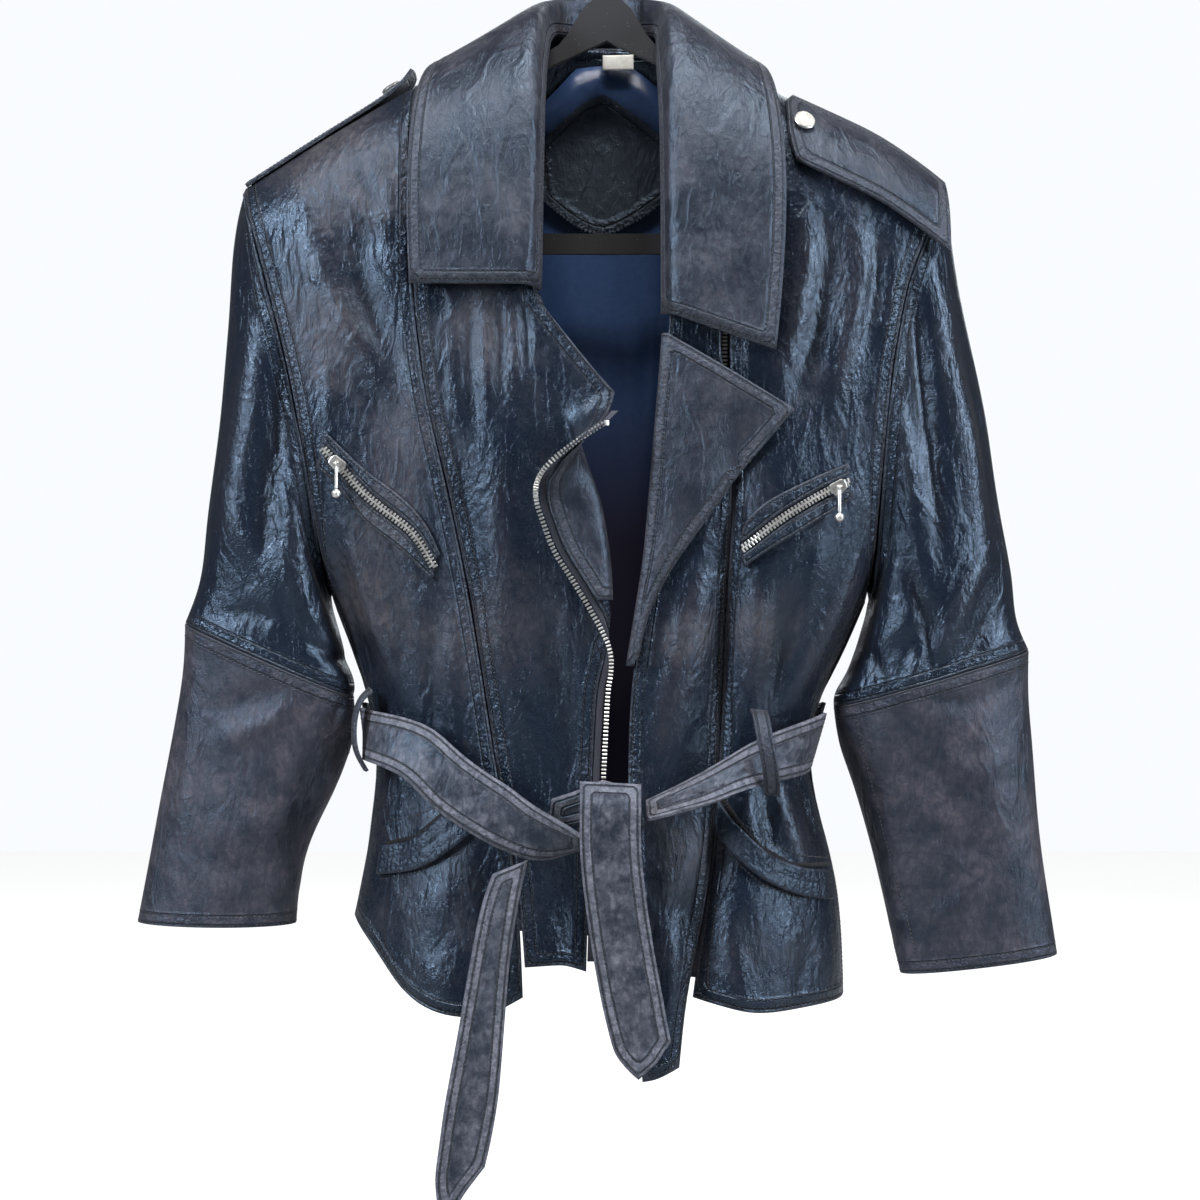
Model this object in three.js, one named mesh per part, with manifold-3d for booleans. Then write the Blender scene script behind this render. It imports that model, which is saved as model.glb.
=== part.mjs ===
// A worn leather jacket, open, hanging on a slim flocked hanger, its belt tied in front.
// Millimetres. +Z is up, the front of the jacket faces -Y, +X is to the viewer's right.
// The origin is the hang point, inside the top of the hanger's hook.
import * as THREE from "three";
import { mergeVertices } from "three/addons/utils/BufferGeometryUtils.js";
import Module from "manifold-3d";

// ---- driving dimensions ----------------------------------------------------------------
const LEATHER = 1.8; // wall of the body leather
const DOUBLE = 2.6; // two layers sewn together: collar, lapels, belt, loops
const LINING = 1.0;
const SEAM = 0.3; // half of the gap left at a seam
const CLEAR = 0.9; // air between a panel and what lies on it
const SHOULDER_ROUND = 55; // height over which the shoulders round from front to back
const ROUND_ROWS = 5;
const UNDERARM = -492;
const BELT_WIDTH = 40;
const CHAIN_WIDTH = 6; // closed zip chain
const SNAP_RADIUS = 7.5;
const BAR_Z = -243; // trouser bar of the hanger

// ---- small maths -----------------------------------------------------------------------
const lerp = (a, b, t) => a + (b - a) * t;
const clamp = (t, low = 0, high = 1) => Math.min(high, Math.max(low, t));
const smooth = (t) => clamp(t) * clamp(t) * (3 - 2 * clamp(t));

// A value read from a short list of [key, value] pairs, smooth between them.
function table(pairs) {
  const list = pairs.slice().sort((a, b) => a[0] - b[0]);
  return (key) => {
    if (key <= list[0][0]) return list[0][1];
    for (let i = 1; i < list.length; i += 1) {
      if (key <= list[i][0]) {
        const t = (key - list[i - 1][0]) / (list[i][0] - list[i - 1][0]);
        return lerp(list[i - 1][1], list[i][1], t);
      }
    }
    return list[list.length - 1][1];
  };
}

// A line through [x, z] points, sampled evenly by its length.
function line2(points, count) {
  const curve = new THREE.CatmullRomCurve3(
    points.map(([x, z]) => new THREE.Vector3(x, 0, z)), false, "centripetal");
  return curve.getSpacedPoints(count - 1).map((p) => [p.x, p.z]);
}

// ---- outlines, all in the front view ----------------------------------------------------
const shoulderZ = table([
  [-262, -212], [-251, -205], [-194, -169], [-138, -136], [-89, -115], [-47, -101],
  [0, -98], [43, -101], [86, -121], [125, -143], [184, -170], [216, -191], [233, -205], [244, -212]]);
const NECK_HALF = 46;
const NECK_RISE = 34; // how far the back rises behind the neck opening
const neckBow = (x) => Math.sqrt(Math.max(0, 1 - (x / NECK_HALF) ** 2));
const shoulderZBack = (x) => shoulderZ(x) + NECK_RISE * neckBow(x) ** 2;
const neckAngle = (x) => 1.13 * neckBow(x); // where the back panel starts, measured round the shoulder
const armholeR = table([ // armhole, then side seam, wearer's right
  [-205, -251], [-253, -237], [-301, -224], [-356, -211], [-465, -193], [-492, -191],
  [-502, -185], [-527, -177], [-560, -165], [-590, -158], [-632, -161], [-688, -170], [-712, -176], [-760,
    -180]]);
const armholeL = table([ // the same, wearer's left
  [-205, 233], [-280, 201], [-356, 190], [-437, 184], [-492, 181],
  [-502, 175], [-527, 166], [-560, 149], [-580, 135], [-604, 136], [-632, 146], [-667, 156], [-702,
    162], [-772, 165]]);
const princessR = table([
  [-137, -130], [-170, -131], [-281, -132], [-358, -122], [-411, -109], [-492, -92],
  [-613, -74], [-666, -62], [-735, -56], [-770, -56]]);
const frontEdgeR = table([ // neckline, fold of the rolled edge, then the zip edge
  [-100, -48], [-286, -50], [-340, -40], [-399, -22], [-425, -12], [-465, -5], [-519, -3], [-552,
    -1], [-612, -4], [-750, -8]]);
const zipSeamL = table([
  [-123, 90], [-321, 81], [-425, 85], [-492, 81], [-559, 79], [-660, 72], [-750, 58], [-830, 50]]);
const frontEdgeL = table([
  [-100, 43], [-300, 41], [-322, 40], [-465, 28], [-519, 19], [-545, 15], [-612, 12], [-700, 15], [-810,
    22]]);
const hemSideR = table([[-182, -708], [-170, -716], [-153, -738], [-144, -751], [-126, -764], [-92, -772],
  [-66, -768], [-50, -750]]);
const hemCentreR = table([[-60, -738], [-30, -737], [-5, -746]]);
const hemFlapL = table([[10, -812], [30, -811], [50, -802], [62, -794]]);
const hemSideL = table([[58, -758], [100, -768], [163, -766]]);
const hemBack = table([[-180, -710], [-120, -726], [0, -738], [110, -742], [163, -764]]);

// ---- the hollow body: how far the cloth stands forward and back --------------------------
const depthFront = table([[-800, 80], [-760, 78], [-680, 68], [-610, 58], [-480, 66], [-300, 64],
  [-200, 60], [-100, 56]]);
const depthBack = table([[-800, 62], [-700, 56], [-610, 44], [-480, 50], [-300, 48], [-100, 42]]);
const sideX = (x, z) => (x < 0 ? armholeR(z) : armholeL(z));

function armholeOpen(z) {
  const q = clamp((z - UNDERARM) / 150);
  return 0.78 * Math.sqrt(1 - (1 - q) * (1 - q));
}

function shoulderRound(x, z, shoulder = shoulderZ) {
  const t = clamp((shoulder(x) - z) / SHOULDER_ROUND);
  return Math.sqrt(1 - (1 - t) * (1 - t));
}

function across(x, z) {
  const open = armholeOpen(z);
  const q = clamp((z - UNDERARM) / 150);
  const r = clamp(Math.abs(x / sideX(x, z)));
  return open + (1 - open) * Math.pow(1 - r * r * r, 0.5 + 0.4 * q);
}

// Groove of the slanted zip on the wearer's left front, and the largest folds of the body.
function frontFolds(x, z) {
  const groove = 9 * Math.exp(-(((x - zipSeamL(z)) / 9) ** 2)) * smooth((-330 - z) / 60);
  const fan = smooth((-600 - z) / 120) * 6 * Math.sin((x - 20) / 17) * smooth((Math.abs(x - 20) - 25) / 30);
  const chest = 3 * Math.sin(x / 26 + z / 70) * smooth((-300 - z) / 80) * (1 - smooth((-560 - z) / 60));
  return groove + fan + chest;
}

function backFolds(x, z) {
  const fan = smooth((-600 - z) / 120) * 7 * Math.sin(x / 22 + 1);
  const chest = 3 * Math.sin(x / 34 - z / 90) * smooth((-300 - z) / 80);
  return fan + chest;
}

function frontY(x, z) {
  const edge = across(x, z);
  const fold = frontFolds(x, z) * clamp(edge * 1.2 - 0.2) * shoulderRound(x, z);
  return -depthFront(z) * shoulderRound(x, z) * edge + fold;
}

function backY(x, z) {
  const edge = across(x, z);
  const round = shoulderRound(x, z, shoulderZBack);
  const fold = backFolds(x, z) * clamp(edge * 1.2 - 0.2) * round;
  return depthBack(z) * round * edge + fold;
}

// A point of the front, moved out along the cloth's own normal.
function onFront(x, z, lift) {
  const slopeX = (frontY(x + 1, z) - frontY(x - 1, z)) / 2;
  const slopeZ = (frontY(x, z + 1) - frontY(x, z - 1)) / 2;
  const out = new THREE.Vector3(slopeX, -1, slopeZ).normalize();
  return new THREE.Vector3(x, frontY(x, z), z).addScaledVector(out, lift);
}

// The same on the back; a negative lift goes inside.
function onBack(x, z, lift) {
  const slopeX = (backY(x + 1, z) - backY(x - 1, z)) / 2;
  const slopeZ = clamp((backY(x, z + 1) - backY(x, z - 1)) / 2, -1.2, 1.2);
  const out = new THREE.Vector3(-slopeX, 1, -slopeZ).normalize();
  return new THREE.Vector3(x, backY(x, z), z).addScaledVector(out, lift);
}

// ---- building solids from a grid of points -----------------------------------------------
function gridNormals(grid, closed) {
  const rows = grid.length;
  const cols = grid[0].length;
  return grid.map((row, i) => row.map((point, j) => {
    const up = grid[Math.max(i - 1, 0)][j];
    const down = grid[Math.min(i + 1, rows - 1)][j];
    const left = closed ? row[(j + cols - 1) % cols] : row[Math.max(j - 1, 0)];
    const right = closed ? row[(j + 1) % cols] : row[Math.min(j + 1, cols - 1)];
    const a = new THREE.Vector3().subVectors(down, up);
    const b = new THREE.Vector3().subVectors(right, left);
    return a.cross(b).normalize();
  }));
}

// A cloth wall: the grid's points moved half the thickness to each side along the normal.
// shift moves the whole wall along the normal first. The winding is turned if it is inside out.
function wall(grid, thickness, { closed = false, shift = 0 } = {}) {
  const rows = grid.length;
  const cols = grid[0].length;
  const normals = gridNormals(grid, closed);
  const positions = [];
  for (const side of [0.5, -0.5]) {
    for (let i = 0; i < rows; i += 1) {
      for (let j = 0; j < cols; j += 1) {
        const p = grid[i][j].clone().addScaledVector(normals[i][j], side * thickness + shift);
        positions.push(p.x, p.y, p.z);
      }
    }
  }
  const at = (side, i, j) => side * rows * cols + i * cols + ((j + cols) % cols);
  const index = [];
  const quad = (a, b, c, d) => index.push(a, b, c, a, c, d);
  const span = closed ? cols : cols - 1;
  for (let i = 0; i < rows - 1; i += 1) {
    for (let j = 0; j < span; j += 1) {
      quad(at(0, i, j), at(0, i + 1, j), at(0, i + 1, j + 1), at(0, i, j + 1));
      quad(at(1, i, j), at(1, i, j + 1), at(1, i + 1, j + 1), at(1, i + 1, j));
    }
  }
  for (let j = 0; j < span; j += 1) {
    quad(at(0, 0, j), at(0, 0, j + 1), at(1, 0, j + 1), at(1, 0, j));
    quad(at(0, rows - 1, j), at(1, rows - 1, j), at(1, rows - 1, j + 1), at(0, rows - 1, j + 1));
  }
  if (!closed) {
    for (let i = 0; i < rows - 1; i += 1) {
      quad(at(0, i, 0), at(1, i, 0), at(1, i + 1, 0), at(0, i + 1, 0));
      quad(at(0, i, cols - 1), at(0, i + 1, cols - 1), at(1, i + 1, cols - 1), at(1, i, cols - 1));
    }
  }
  const geometry = new THREE.BufferGeometry();
  geometry.setAttribute("position", new THREE.Float32BufferAttribute(positions, 3));
  geometry.setIndex(index);
  if (volume(geometry) < 0) {
    geometry.setIndex(index.map((_, k) => index[k - (k % 3) + [0, 2, 1][k % 3]]));
  }
  return geometry;
}

function volume(geometry) {
  const p = geometry.attributes.position;
  const index = geometry.index.array;
  const v = [new THREE.Vector3(), new THREE.Vector3(), new THREE.Vector3()];
  let sum = 0;
  for (let i = 0; i < index.length; i += 3) {
    v.forEach((corner, k) => corner.fromBufferAttribute(p, index[i + k]));
    sum += v[0].dot(new THREE.Vector3().crossVectors(v[1], v[2]));
  }
  return sum / 6;
}

// ---- materials -----------------------------------------------------------------------------
const material = (color, roughness, metalness = 0) =>
  new THREE.MeshStandardMaterial({ color, roughness, metalness });
const looks = {
  leather: () => material(0x1b1f2b, 0.45),
  worn: () => material(0x4a4650, 0.6),
  lining: () => material(0x1a2340, 0.35),
  tape: () => material(0x2a2f3a, 0.85),
  metal: () => material(0xc9cbc8, 0.3, 1),
  velvet: () => material(0x08080a, 0.95),
  patch: () => material(0x14151a, 0.5),
  tag: () => material(0xe9e7e2, 0.8),
};

const jacket = new THREE.Group();
function add(name, geometry, look) {
  const mesh = new THREE.Mesh(geometry, looks[look]());
  mesh.name = name;
  jacket.add(mesh);
  return mesh;
}

// ---- body panels ----------------------------------------------------------------------------
// Rows run from the shoulder seam down to the hem; a row's height follows the shoulder line.
function rowZ(x, k, rows, hem, back = false) {
  const top = back ? shoulderZBack(x) : shoulderZ(x);
  if (k <= ROUND_ROWS) {
    const start = back ? neckAngle(x) : 0;
    return top - SHOULDER_ROUND * (1 - Math.cos(lerp(start, Math.PI / 2, k / ROUND_ROWS)));
  }
  return lerp(top - SHOULDER_ROUND, hem(x), (k - ROUND_ROWS) / (rows - ROUND_ROWS));
}

function edgePoint(edge, k, rows, hem) {
  let x = edge(-150);
  for (let turn = 0; turn < 12; turn += 1) x = lerp(x, edge(rowZ(x, k, rows, hem)), 0.6);
  return x;
}

// A body panel between two edges. bend packs columns near the first edge, where it turns round.
function panel(edgeA, edgeB, { rows, cols, hem, depth, bend = 1, bendB = 1, side = -1, insetA = 0,
  insetB = SEAM }) {
  const grid = [];
  for (let k = 0; k <= rows; k += 1) {
    const xa = edgePoint(edgeA, k, rows, hem);
    const xb = edgePoint(edgeB, k, rows, hem);
    const width = Math.abs(xb - xa);
    const row = [];
    for (let j = 0; j <= cols; j += 1) {
      let u = j / cols;
      if (bendB !== 1 && u > 0.5) {
        u = 1 - 0.5 * Math.pow((1 - u) * 2, bendB);
      } else if (bendB !== 1) {
        u = 0.5 * Math.pow(u * 2, bend);
      } else {
        u = Math.pow(u, bend);
      }
      const x = lerp(xa, xb, lerp(insetA / width, 1 - insetB / width, u));
      const z = rowZ(x, k, rows, hem, side > 0);
      const y = k === 0 && neckAngle(x) * (side > 0) === 0 ? side * SEAM : depth(x, z) + side * SEAM;
      row.push(new THREE.Vector3(x, y, z));
    }
    grid.push(row);
  }
  return grid;
}

add("back_panel", wall(panel(armholeR, armholeL, {
  rows: 17, cols: 16, hem: hemBack, depth: backY, bend: 1.7, bendB: 1.7, side: 1, insetB: 0,
}), LEATHER), "leather");
add("front_side_right", wall(panel(armholeR, princessR, {
  rows: 19, cols: 8, hem: hemSideR, depth: frontY, bend: 1.7 }), LEATHER), "leather");
add("front_side_left", wall(panel(armholeL, zipSeamL, {
  rows: 19, cols: 8, hem: hemSideL, depth: frontY, bend: 1.7 }), LEATHER), "leather");
// The flap covers the slanted zip except just below the collar and at the hem.
const flapEdgeL = (z) => zipSeamL(z) - 4.4 * (smooth((z + 356) / 14) + smooth((-722 - z) / 14));
add("overlap_flap_left", wall(panel(flapEdgeL, frontEdgeL, {
  rows: 20, cols: 3, hem: hemFlapL, depth: frontY, insetA: 0.9, insetB: 1.2 }), LEATHER), "leather");

// ---- wearer's right centre front: its edge is rolled outward below the lapel -------------------
const ROLL_RADIUS = 5.5;
// Cloth beyond the fold line, and the angle by which it is turned outward, at each height.
const lapelReach = table([
  [-286, 0], [-353, 41], [-366, 41], [-386, 45], [-412, 50], [-425, 52], [-459, 46], [-492, 27], [-525,
    9], [-552, 0]]);
const lapelTurn = table([[-352, 0], [-366, 10], [-376, 50], [-386, 84], [-399, 118], [-412, 150],
  [-425, 180], [-540, 180],
  [-570, 0]]);

// The centre front as a path at one height: s mm past the fold line, negative on the panel.
function centrePath(z, s, lift = 0) {
  const fold = frontEdgeR(z);
  const recede = 22 * smooth((-640 - z) / 60);
  const y0 = frontY(Math.min(fold, -1), z) + recede;
  if (s <= 0) {
    const x = fold + s;
    const blend = smooth(-s / 30);
    return new THREE.Vector3(x, lerp(y0, frontY(x, z) + recede * smooth(1 + s / 60), blend) - lift, z);
  }
  const turn = THREE.MathUtils.degToRad(lapelTurn(z));
  const bent = Math.min(s / (ROLL_RADIUS + lift), turn);
  const straight = s - bent * (ROLL_RADIUS + lift);
  const radius = ROLL_RADIUS + lift;
  const x = fold + radius * Math.sin(bent) + straight * Math.cos(bent);
  const y = y0 - ROLL_RADIUS + radius * Math.cos(bent) - 2 * lift - straight * Math.sin(bent) + lift;
  return new THREE.Vector3(x, y, z);
}

const centreRows = [-342, -353, -366, -376, -386, -399, -412, -425, -442, -459, -475, -492, -508, -525,
  -540, -552,
  -580, -612, -640, -665, -690, -715];
const EDGE_TAPE = 6.5; // zip tape showing beyond the leather
const hasZip = (z) => z < -355;

// Columns over the fold: dense round the roll, then straight to the end.
function foldColumns(z, end) {
  const roll = Math.max(ROLL_RADIUS * THREE.MathUtils.degToRad(lapelTurn(z)), 8);
  const arc = Math.min(roll, Math.max(end - 1, 0));
  const list = end > 4 ? [-8] : [end - 8];
  for (let k = 0; k <= 4; k += 1) list.push(end > 4 ? (arc * k) / 4 : end - 7 + k);
  list.push(lerp(list[5], end, 0.5), end);
  return list;
}

function centreGrid() {
  const upper = [];
  for (let k = 0; k <= ROUND_ROWS + 3; k += 1) upper.push(shoulderZ(-90) - [0, 3, 10, 23, 38, 55, 110, 171,
    200][k]);
  const rows = [...upper, ...centreRows, null];
  return rows.map((level, k) => {
    const start = level === null ? princessR(-740) : princessR(level);
    const z0 = level === null ? -738 : level;
    const fold = frontEdgeR(z0);
    const reach = hasZip(z0) ? Math.max(lapelReach(z0), 0) - EDGE_TAPE : lapelReach(z0);
    const row = [];
    const columns = foldColumns(z0, reach);
    for (let j = 0; j <= 12; j += 1) {
      const s = j < 5 ? lerp(start + 3 * SEAM - fold, columns[0], j / 5) : columns[j - 5];
      const x = fold + s;
      const slope = k <= ROUND_ROWS ? shoulderZ(x) - shoulderZ(-90) : 0;
      const z = level === null ? hemCentreR(x) : z0 + slope;
      const p = centrePath(z, s);
      p.y = k === 0 ? -SEAM : p.y - SEAM;
      row.push(p);
    }
    return row;
  });
}
add("front_centre_right", wall(centreGrid(), LEATHER), "leather");


// Strips that follow the centre front's edge: the facing, the zip tape and the row of teeth.
function edgeStrip(levels, columns) {
  return levels.map((z) => columns(z).map((s) => centrePath(z, s).add(new THREE.Vector3(0, -SEAM, 0))));
}
const between = (levels, top, bottom) => levels.filter((z) => z <= top && z >= bottom);
const TAPE = 0.5;
const edgeColumns = (from, to) => (z) => [lapelReach(z) + from, lapelReach(z) + to];
add("facing_right", wall(edgeStrip(between(centreRows, -386, -500),
  (z) => [-14, ...foldColumns(z, lapelReach(z) - EDGE_TAPE)]), 1, { shift: -2.7 }), "worn");
const zipRows = [...between(centreRows, -365, -730), -736];
add("main_zip_tape_right", wall(edgeStrip(zipRows, edgeColumns(0.6 - EDGE_TAPE, -1.2)), TAPE), "tape");
add("main_zip_teeth_right", wall(edgeStrip(zipRows, edgeColumns(0, 2.8)), 2.2), "metal");

// ---- wearer's left: slanted zip in its groove, and the lapel turned outward --------------------
function frontBand(levels, xFrom, xTo, cols, lift) {
  return levels.map((z) => Array.from({ length: cols + 1 }, (_, j) => {
    const x = lerp(xFrom(z), xTo(z), j / cols);
    return onFront(x, z, lift);
  }));
}
const slantRows = [
  -150, -190, -230, -268, -302, -335, -365, -395, -425, -458,
  -492, -525, -559, -590, -625, -660, -690, -720, -745,
];
const slantBand = (from, to, cols, lift) => frontBand(
  slantRows, (z) => zipSeamL(z) + from, (z) => zipSeamL(z) + to, cols, lift);
add("main_zip_tape_left", wall(slantBand(-9, 5, 2, -5.2), TAPE), "tape");
add("main_zip_teeth_left", wall(slantBand(-4.2, -1.2, 1, -2.7), 2.0), "metal");

const ROLL_L = 3.4; // radius of the left lapel's roll
function lapelLeft() {
  const rows = 9;
  const tip = [125, -364];
  const outer = line2([tip, [93, -403], [61, -445], [36, -481], [23, -512], [20, -530]], rows + 1);
  const grid = [];
  for (let k = 0; k <= rows; k += 1) {
    const z0 = lerp(-314, -536, k / rows);
    const roll = frontEdgeL(z0);
    const y0 = frontY(roll, z0);
    const row = [];
    for (const angle of [90, 135, 180, 225]) {
      const a = THREE.MathUtils.degToRad(angle);
      row.push(new THREE.Vector3(roll + ROLL_L * Math.cos(a), y0 - ROLL_L + ROLL_L * Math.sin(a), z0));
    }
    for (let j = 0; j <= 6; j += 1) {
      const u = j / 6;
      const x = lerp(roll, outer[k][0], u);
      const z = lerp(z0, outer[k][1], u);
      const lift = 2 * ROLL_L + 4 * Math.sin(Math.PI * u) - 2.2 * u;
      row.push(new THREE.Vector3(x, Math.min(frontY(x, z), lerp(y0, frontY(x, z), u) + 2) - lift, z));
    }
    grid.push(row);
  }
  return grid;
}
add("lapel_left", wall(lapelLeft(), 2.2), "worn");

// ---- sleeves ------------------------------------------------------------------------------------
const SLEEVE_COLS = 18;
const ARM_TOP = -205; // where the sleeves are set in at the shoulder
const sleeves = {
  right: {
    sign: -1,
    edge: armholeR,
    outer: [[-252, -206], [-258, -225], [-260, -254], [-263, -310], [-270, -380], [-278, -450],
      [-290, -509]],
    inner: [[-193, -493], [-195, -497], [-194, -502], [-190, -510], [-184, -524], [-178, -542],
      [-173, -560]],
    lowOuter: [[-290, -509], [-295, -555], [-309, -625], [-320, -681], [-327, -716]],
    lowInner: [[-173, -560], [-174, -590], [-202, -653], [-213, -681], [-217, -717]],
  },
  left: {
    sign: 1,
    edge: armholeL,
    outer: [[234, -206], [239, -225], [244, -275], [261, -352], [272, -422], [282, -485], [292, -527]],
    inner: [[183, -493], [185, -497], [184, -502], [179, -512], [173, -530], [164, -549], [156, -567]],
    lowOuter: [[292, -527], [296, -576], [303, -653], [310, -700], [315, -737]],
    lowInner: [[156, -567], [163, -597], [181, -653], [198, -716], [206, -751]],
  },
};
const sleeveDepth = table([[0, 46], [0.4, 46], [0.7, 42], [1, 36], [1.4, 30], [2, 25]]);
const SLEEVE_FORWARD = -6;

function armholeRing({ sign, edge }) {
  return Array.from({ length: SLEEVE_COLS }, (_, j) => {
    const phi = (j / SLEEVE_COLS) * 2 * Math.PI;
    const t = (1 - Math.cos(phi)) / 2;
    const z = lerp(ARM_TOP, UNDERARM, t);
    const x = edge(z);
    const y = Math.sin(phi) >= 0 ? frontY(x, z) : backY(x, z);
    const away = 1.0 + 2.2 * t ** 6;
    return new THREE.Vector3(x + sign * away, y, z + (j === 0 ? 0.5 : 0));
  });
}

function sleeveFolds(s, phi, sign) {
  const elbow = 3.5 * Math.sin(s * 26 + phi) * Math.exp(-(((s - 0.85) / 0.25) ** 2));
  const long = 2.5 * Math.sin(3 * phi + sign + s * 2) * smooth(s * 2);
  return elbow + long;
}

function sleeveGrid(sleeve, from, to, rings) {
  const points = (list) => list.map(([x, z]) => new THREE.Vector3(x, 0, z));
  const upper = [sleeve.outer, sleeve.inner].map((list) => new THREE.CatmullRomCurve3(points(list),
    false, "centripetal"));
  const lower = [sleeve.lowOuter, sleeve.lowInner].map((list) =>
    new THREE.CatmullRomCurve3(points(list), false, "centripetal"));
  const hole = armholeRing(sleeve);
  const grid = [];
  for (let i = 0; i <= rings; i += 1) {
    const s = lerp(from, to, i / rings);
    const [a, b] = s <= 1 ? upper.map((c) => c.getPoint(s)) : lower.map((c) => c.getPointAt(s - 1));
    const centre = a.clone().add(b).multiplyScalar(0.5);
    const half = a.clone().sub(b).multiplyScalar(0.5);
    const blend = smooth(s / 0.3);
    grid.push(hole.map((start, j) => {
      const phi = (j / SLEEVE_COLS) * 2 * Math.PI;
      const swell = 1 + (sleeveFolds(s, phi, sleeve.sign) * blend) / half.length();
      const p = centre.clone().addScaledVector(half, Math.cos(phi) * swell);
      const sine = Math.sin(phi);
      const rounded = Math.sign(sine) * Math.pow(Math.abs(sine), 0.85);
      p.y = SLEEVE_FORWARD * smooth(s) - sleeveDepth(s) * swell * rounded;
      return start.clone().lerp(p, blend);
    }));
  }
  return grid;
}
for (const [side, sleeve] of Object.entries(sleeves)) {
  add(`upper_sleeve_${side}`, wall(sleeveGrid(sleeve, 0, 0.9984, 11), LEATHER, { closed: true }),
    "leather");
  add(`lower_sleeve_${side}`, wall(sleeveGrid(sleeve, 1.0012, 2, 7), LEATHER, { closed: true }), "worn");
}


// ---- collar: a stand from the neck seam up to the roll, and a fall to the outer edge -----------
const collarStations = [ // neck seam, roll, outer edge
  [[-45, -61, -284], [-51, -74, -282], [-132, -74, -281]],
  [[-44, -59, -215], [-49, -73, -205], [-134, -74, -224]],
  [[-43, -49, -155], [-49, -62, -140], [-132, -63, -174]],
  [[-41, -22, -112], [-48, -32, -92], [-127, -36, -134]],
  [[-37, 6, -95], [-44, 2, -73], [-114, 4, -113]],
  [[-24, 30, -91], [-28, 24, -63], [-74, 50, -124]],
  [[-3, 38, -88], [-3, 32, -60], [-4, 64, -140]],
  [[18, 30, -91], [21, 24, -63], [66, 50, -124]],
  [[35, 6, -96], [40, 2, -73], [101, 2, -114]],
  [[34, -22, -112], [41, -34, -90], [113, -46, -139]],
  [[36, -49, -155], [42, -64, -140], [119, -74, -196]],
  [[37, -59, -225], [42, -74, -212], [118, -76, -262]],
  [[37, -61, -300], [43, -76, -302], [112, -80, -326]],
];

function collarGrid() {
  const curves = [0, 1, 2].map((k) => new THREE.CatmullRomCurve3(
    collarStations.map((station) => new THREE.Vector3(...station[k])), false, "centripetal"));
  const grid = [];
  const rows = 20;
  for (let i = 0; i <= rows; i += 1) {
    const t = i / rows;
    const [neck, roll, edge] = curves.map((curve) => curve.getPoint(t));
    const out = edge.clone().sub(roll).normalize();
    const stand = roll.clone().sub(neck).normalize();
    const section = new THREE.CatmullRomCurve3([
      neck,
      neck.clone().lerp(roll, 0.6),
      roll,
      roll.clone().addScaledVector(out, 7).addScaledVector(stand, 1.5),
      roll.clone().lerp(edge, 0.35).addScaledVector(stand, 1),
      roll.clone().lerp(edge, 0.7),
      edge,
    ], false, "centripetal");
    grid.push([0, 0.09, 0.17, 0.22, 0.27, 0.36, 0.52, 0.68, 0.84, 1].map((u) => section.getPointAt(u)));
  }
  return grid;
}
add("collar", wall(collarGrid(), DOUBLE), "worn");

// ---- epaulettes: straps lying round the top of the shoulders --------------------------------------
// A point on the shoulder at x, at an angle round it (0 on the seam, positive to the front).
function shoulderPoint(x, degrees, lift) {
  const a = THREE.MathUtils.degToRad(degrees);
  const z = shoulderZ(x) - SHOULDER_ROUND * (1 - Math.cos(a));
  const y = a >= 0 ? frontY(x, z) : backY(x, z);
  return new THREE.Vector3(x, y - Math.sin(a) * lift, z + Math.cos(a) * lift);
}

function epauletteGrid(xs, from, to, lift) {
  return xs.map((x, i) => [0, 0.25, 0.5, 0.75, 1].map((u) => {
    const squeeze = i === xs.length - 1 ? 0.55 : 1; // the free end narrows to a point
    return shoulderPoint(x, lerp(from, to, 0.5 + (u - 0.5) * squeeze), lift(i / (xs.length - 1)));
  }));
}
add("epaulette_right", wall(epauletteGrid([-249, -238, -220, -200, -180, -160, -148, -140, -135], -24, 26,
  (u) => 3.2 + 9 * u ** 5), DOUBLE), "leather");
add("epaulette_left", wall(epauletteGrid([232, 222, 204, 186, 168, 150, 136, 127, 122], 27, 88,
  (u) => 5.4 - 1.0 * u), DOUBLE), "leather");

function disc(radius, height, bevel) {
  const profile = [[0, 0], [radius - 0.6, 0], [radius, 0.6], [radius, height - bevel],
    [radius - bevel, height], [0, height]];
  return new THREE.LatheGeometry(profile.map(([x, y]) => new THREE.Vector2(x, y)), 24);
}

function snap(name, x, degrees, lift) {
  const base = shoulderPoint(x, degrees, lift);
  const ahead = shoulderPoint(x, degrees + 6, lift);
  const along = shoulderPoint(x + 4, degrees, lift);
  const normal = ahead.sub(base).cross(along.sub(base)).normalize();
  if (normal.z < 0) normal.negate();
  const mesh = add(name, disc(SNAP_RADIUS, 2.2, 0.8), "metal");
  mesh.quaternion.setFromUnitVectors(new THREE.Vector3(0, 1, 0), normal);
  mesh.position.copy(base);
}
snap("snap_left", 133, 58, 7.0);
snap("snap_right", -150, 1, 8.6);

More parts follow.
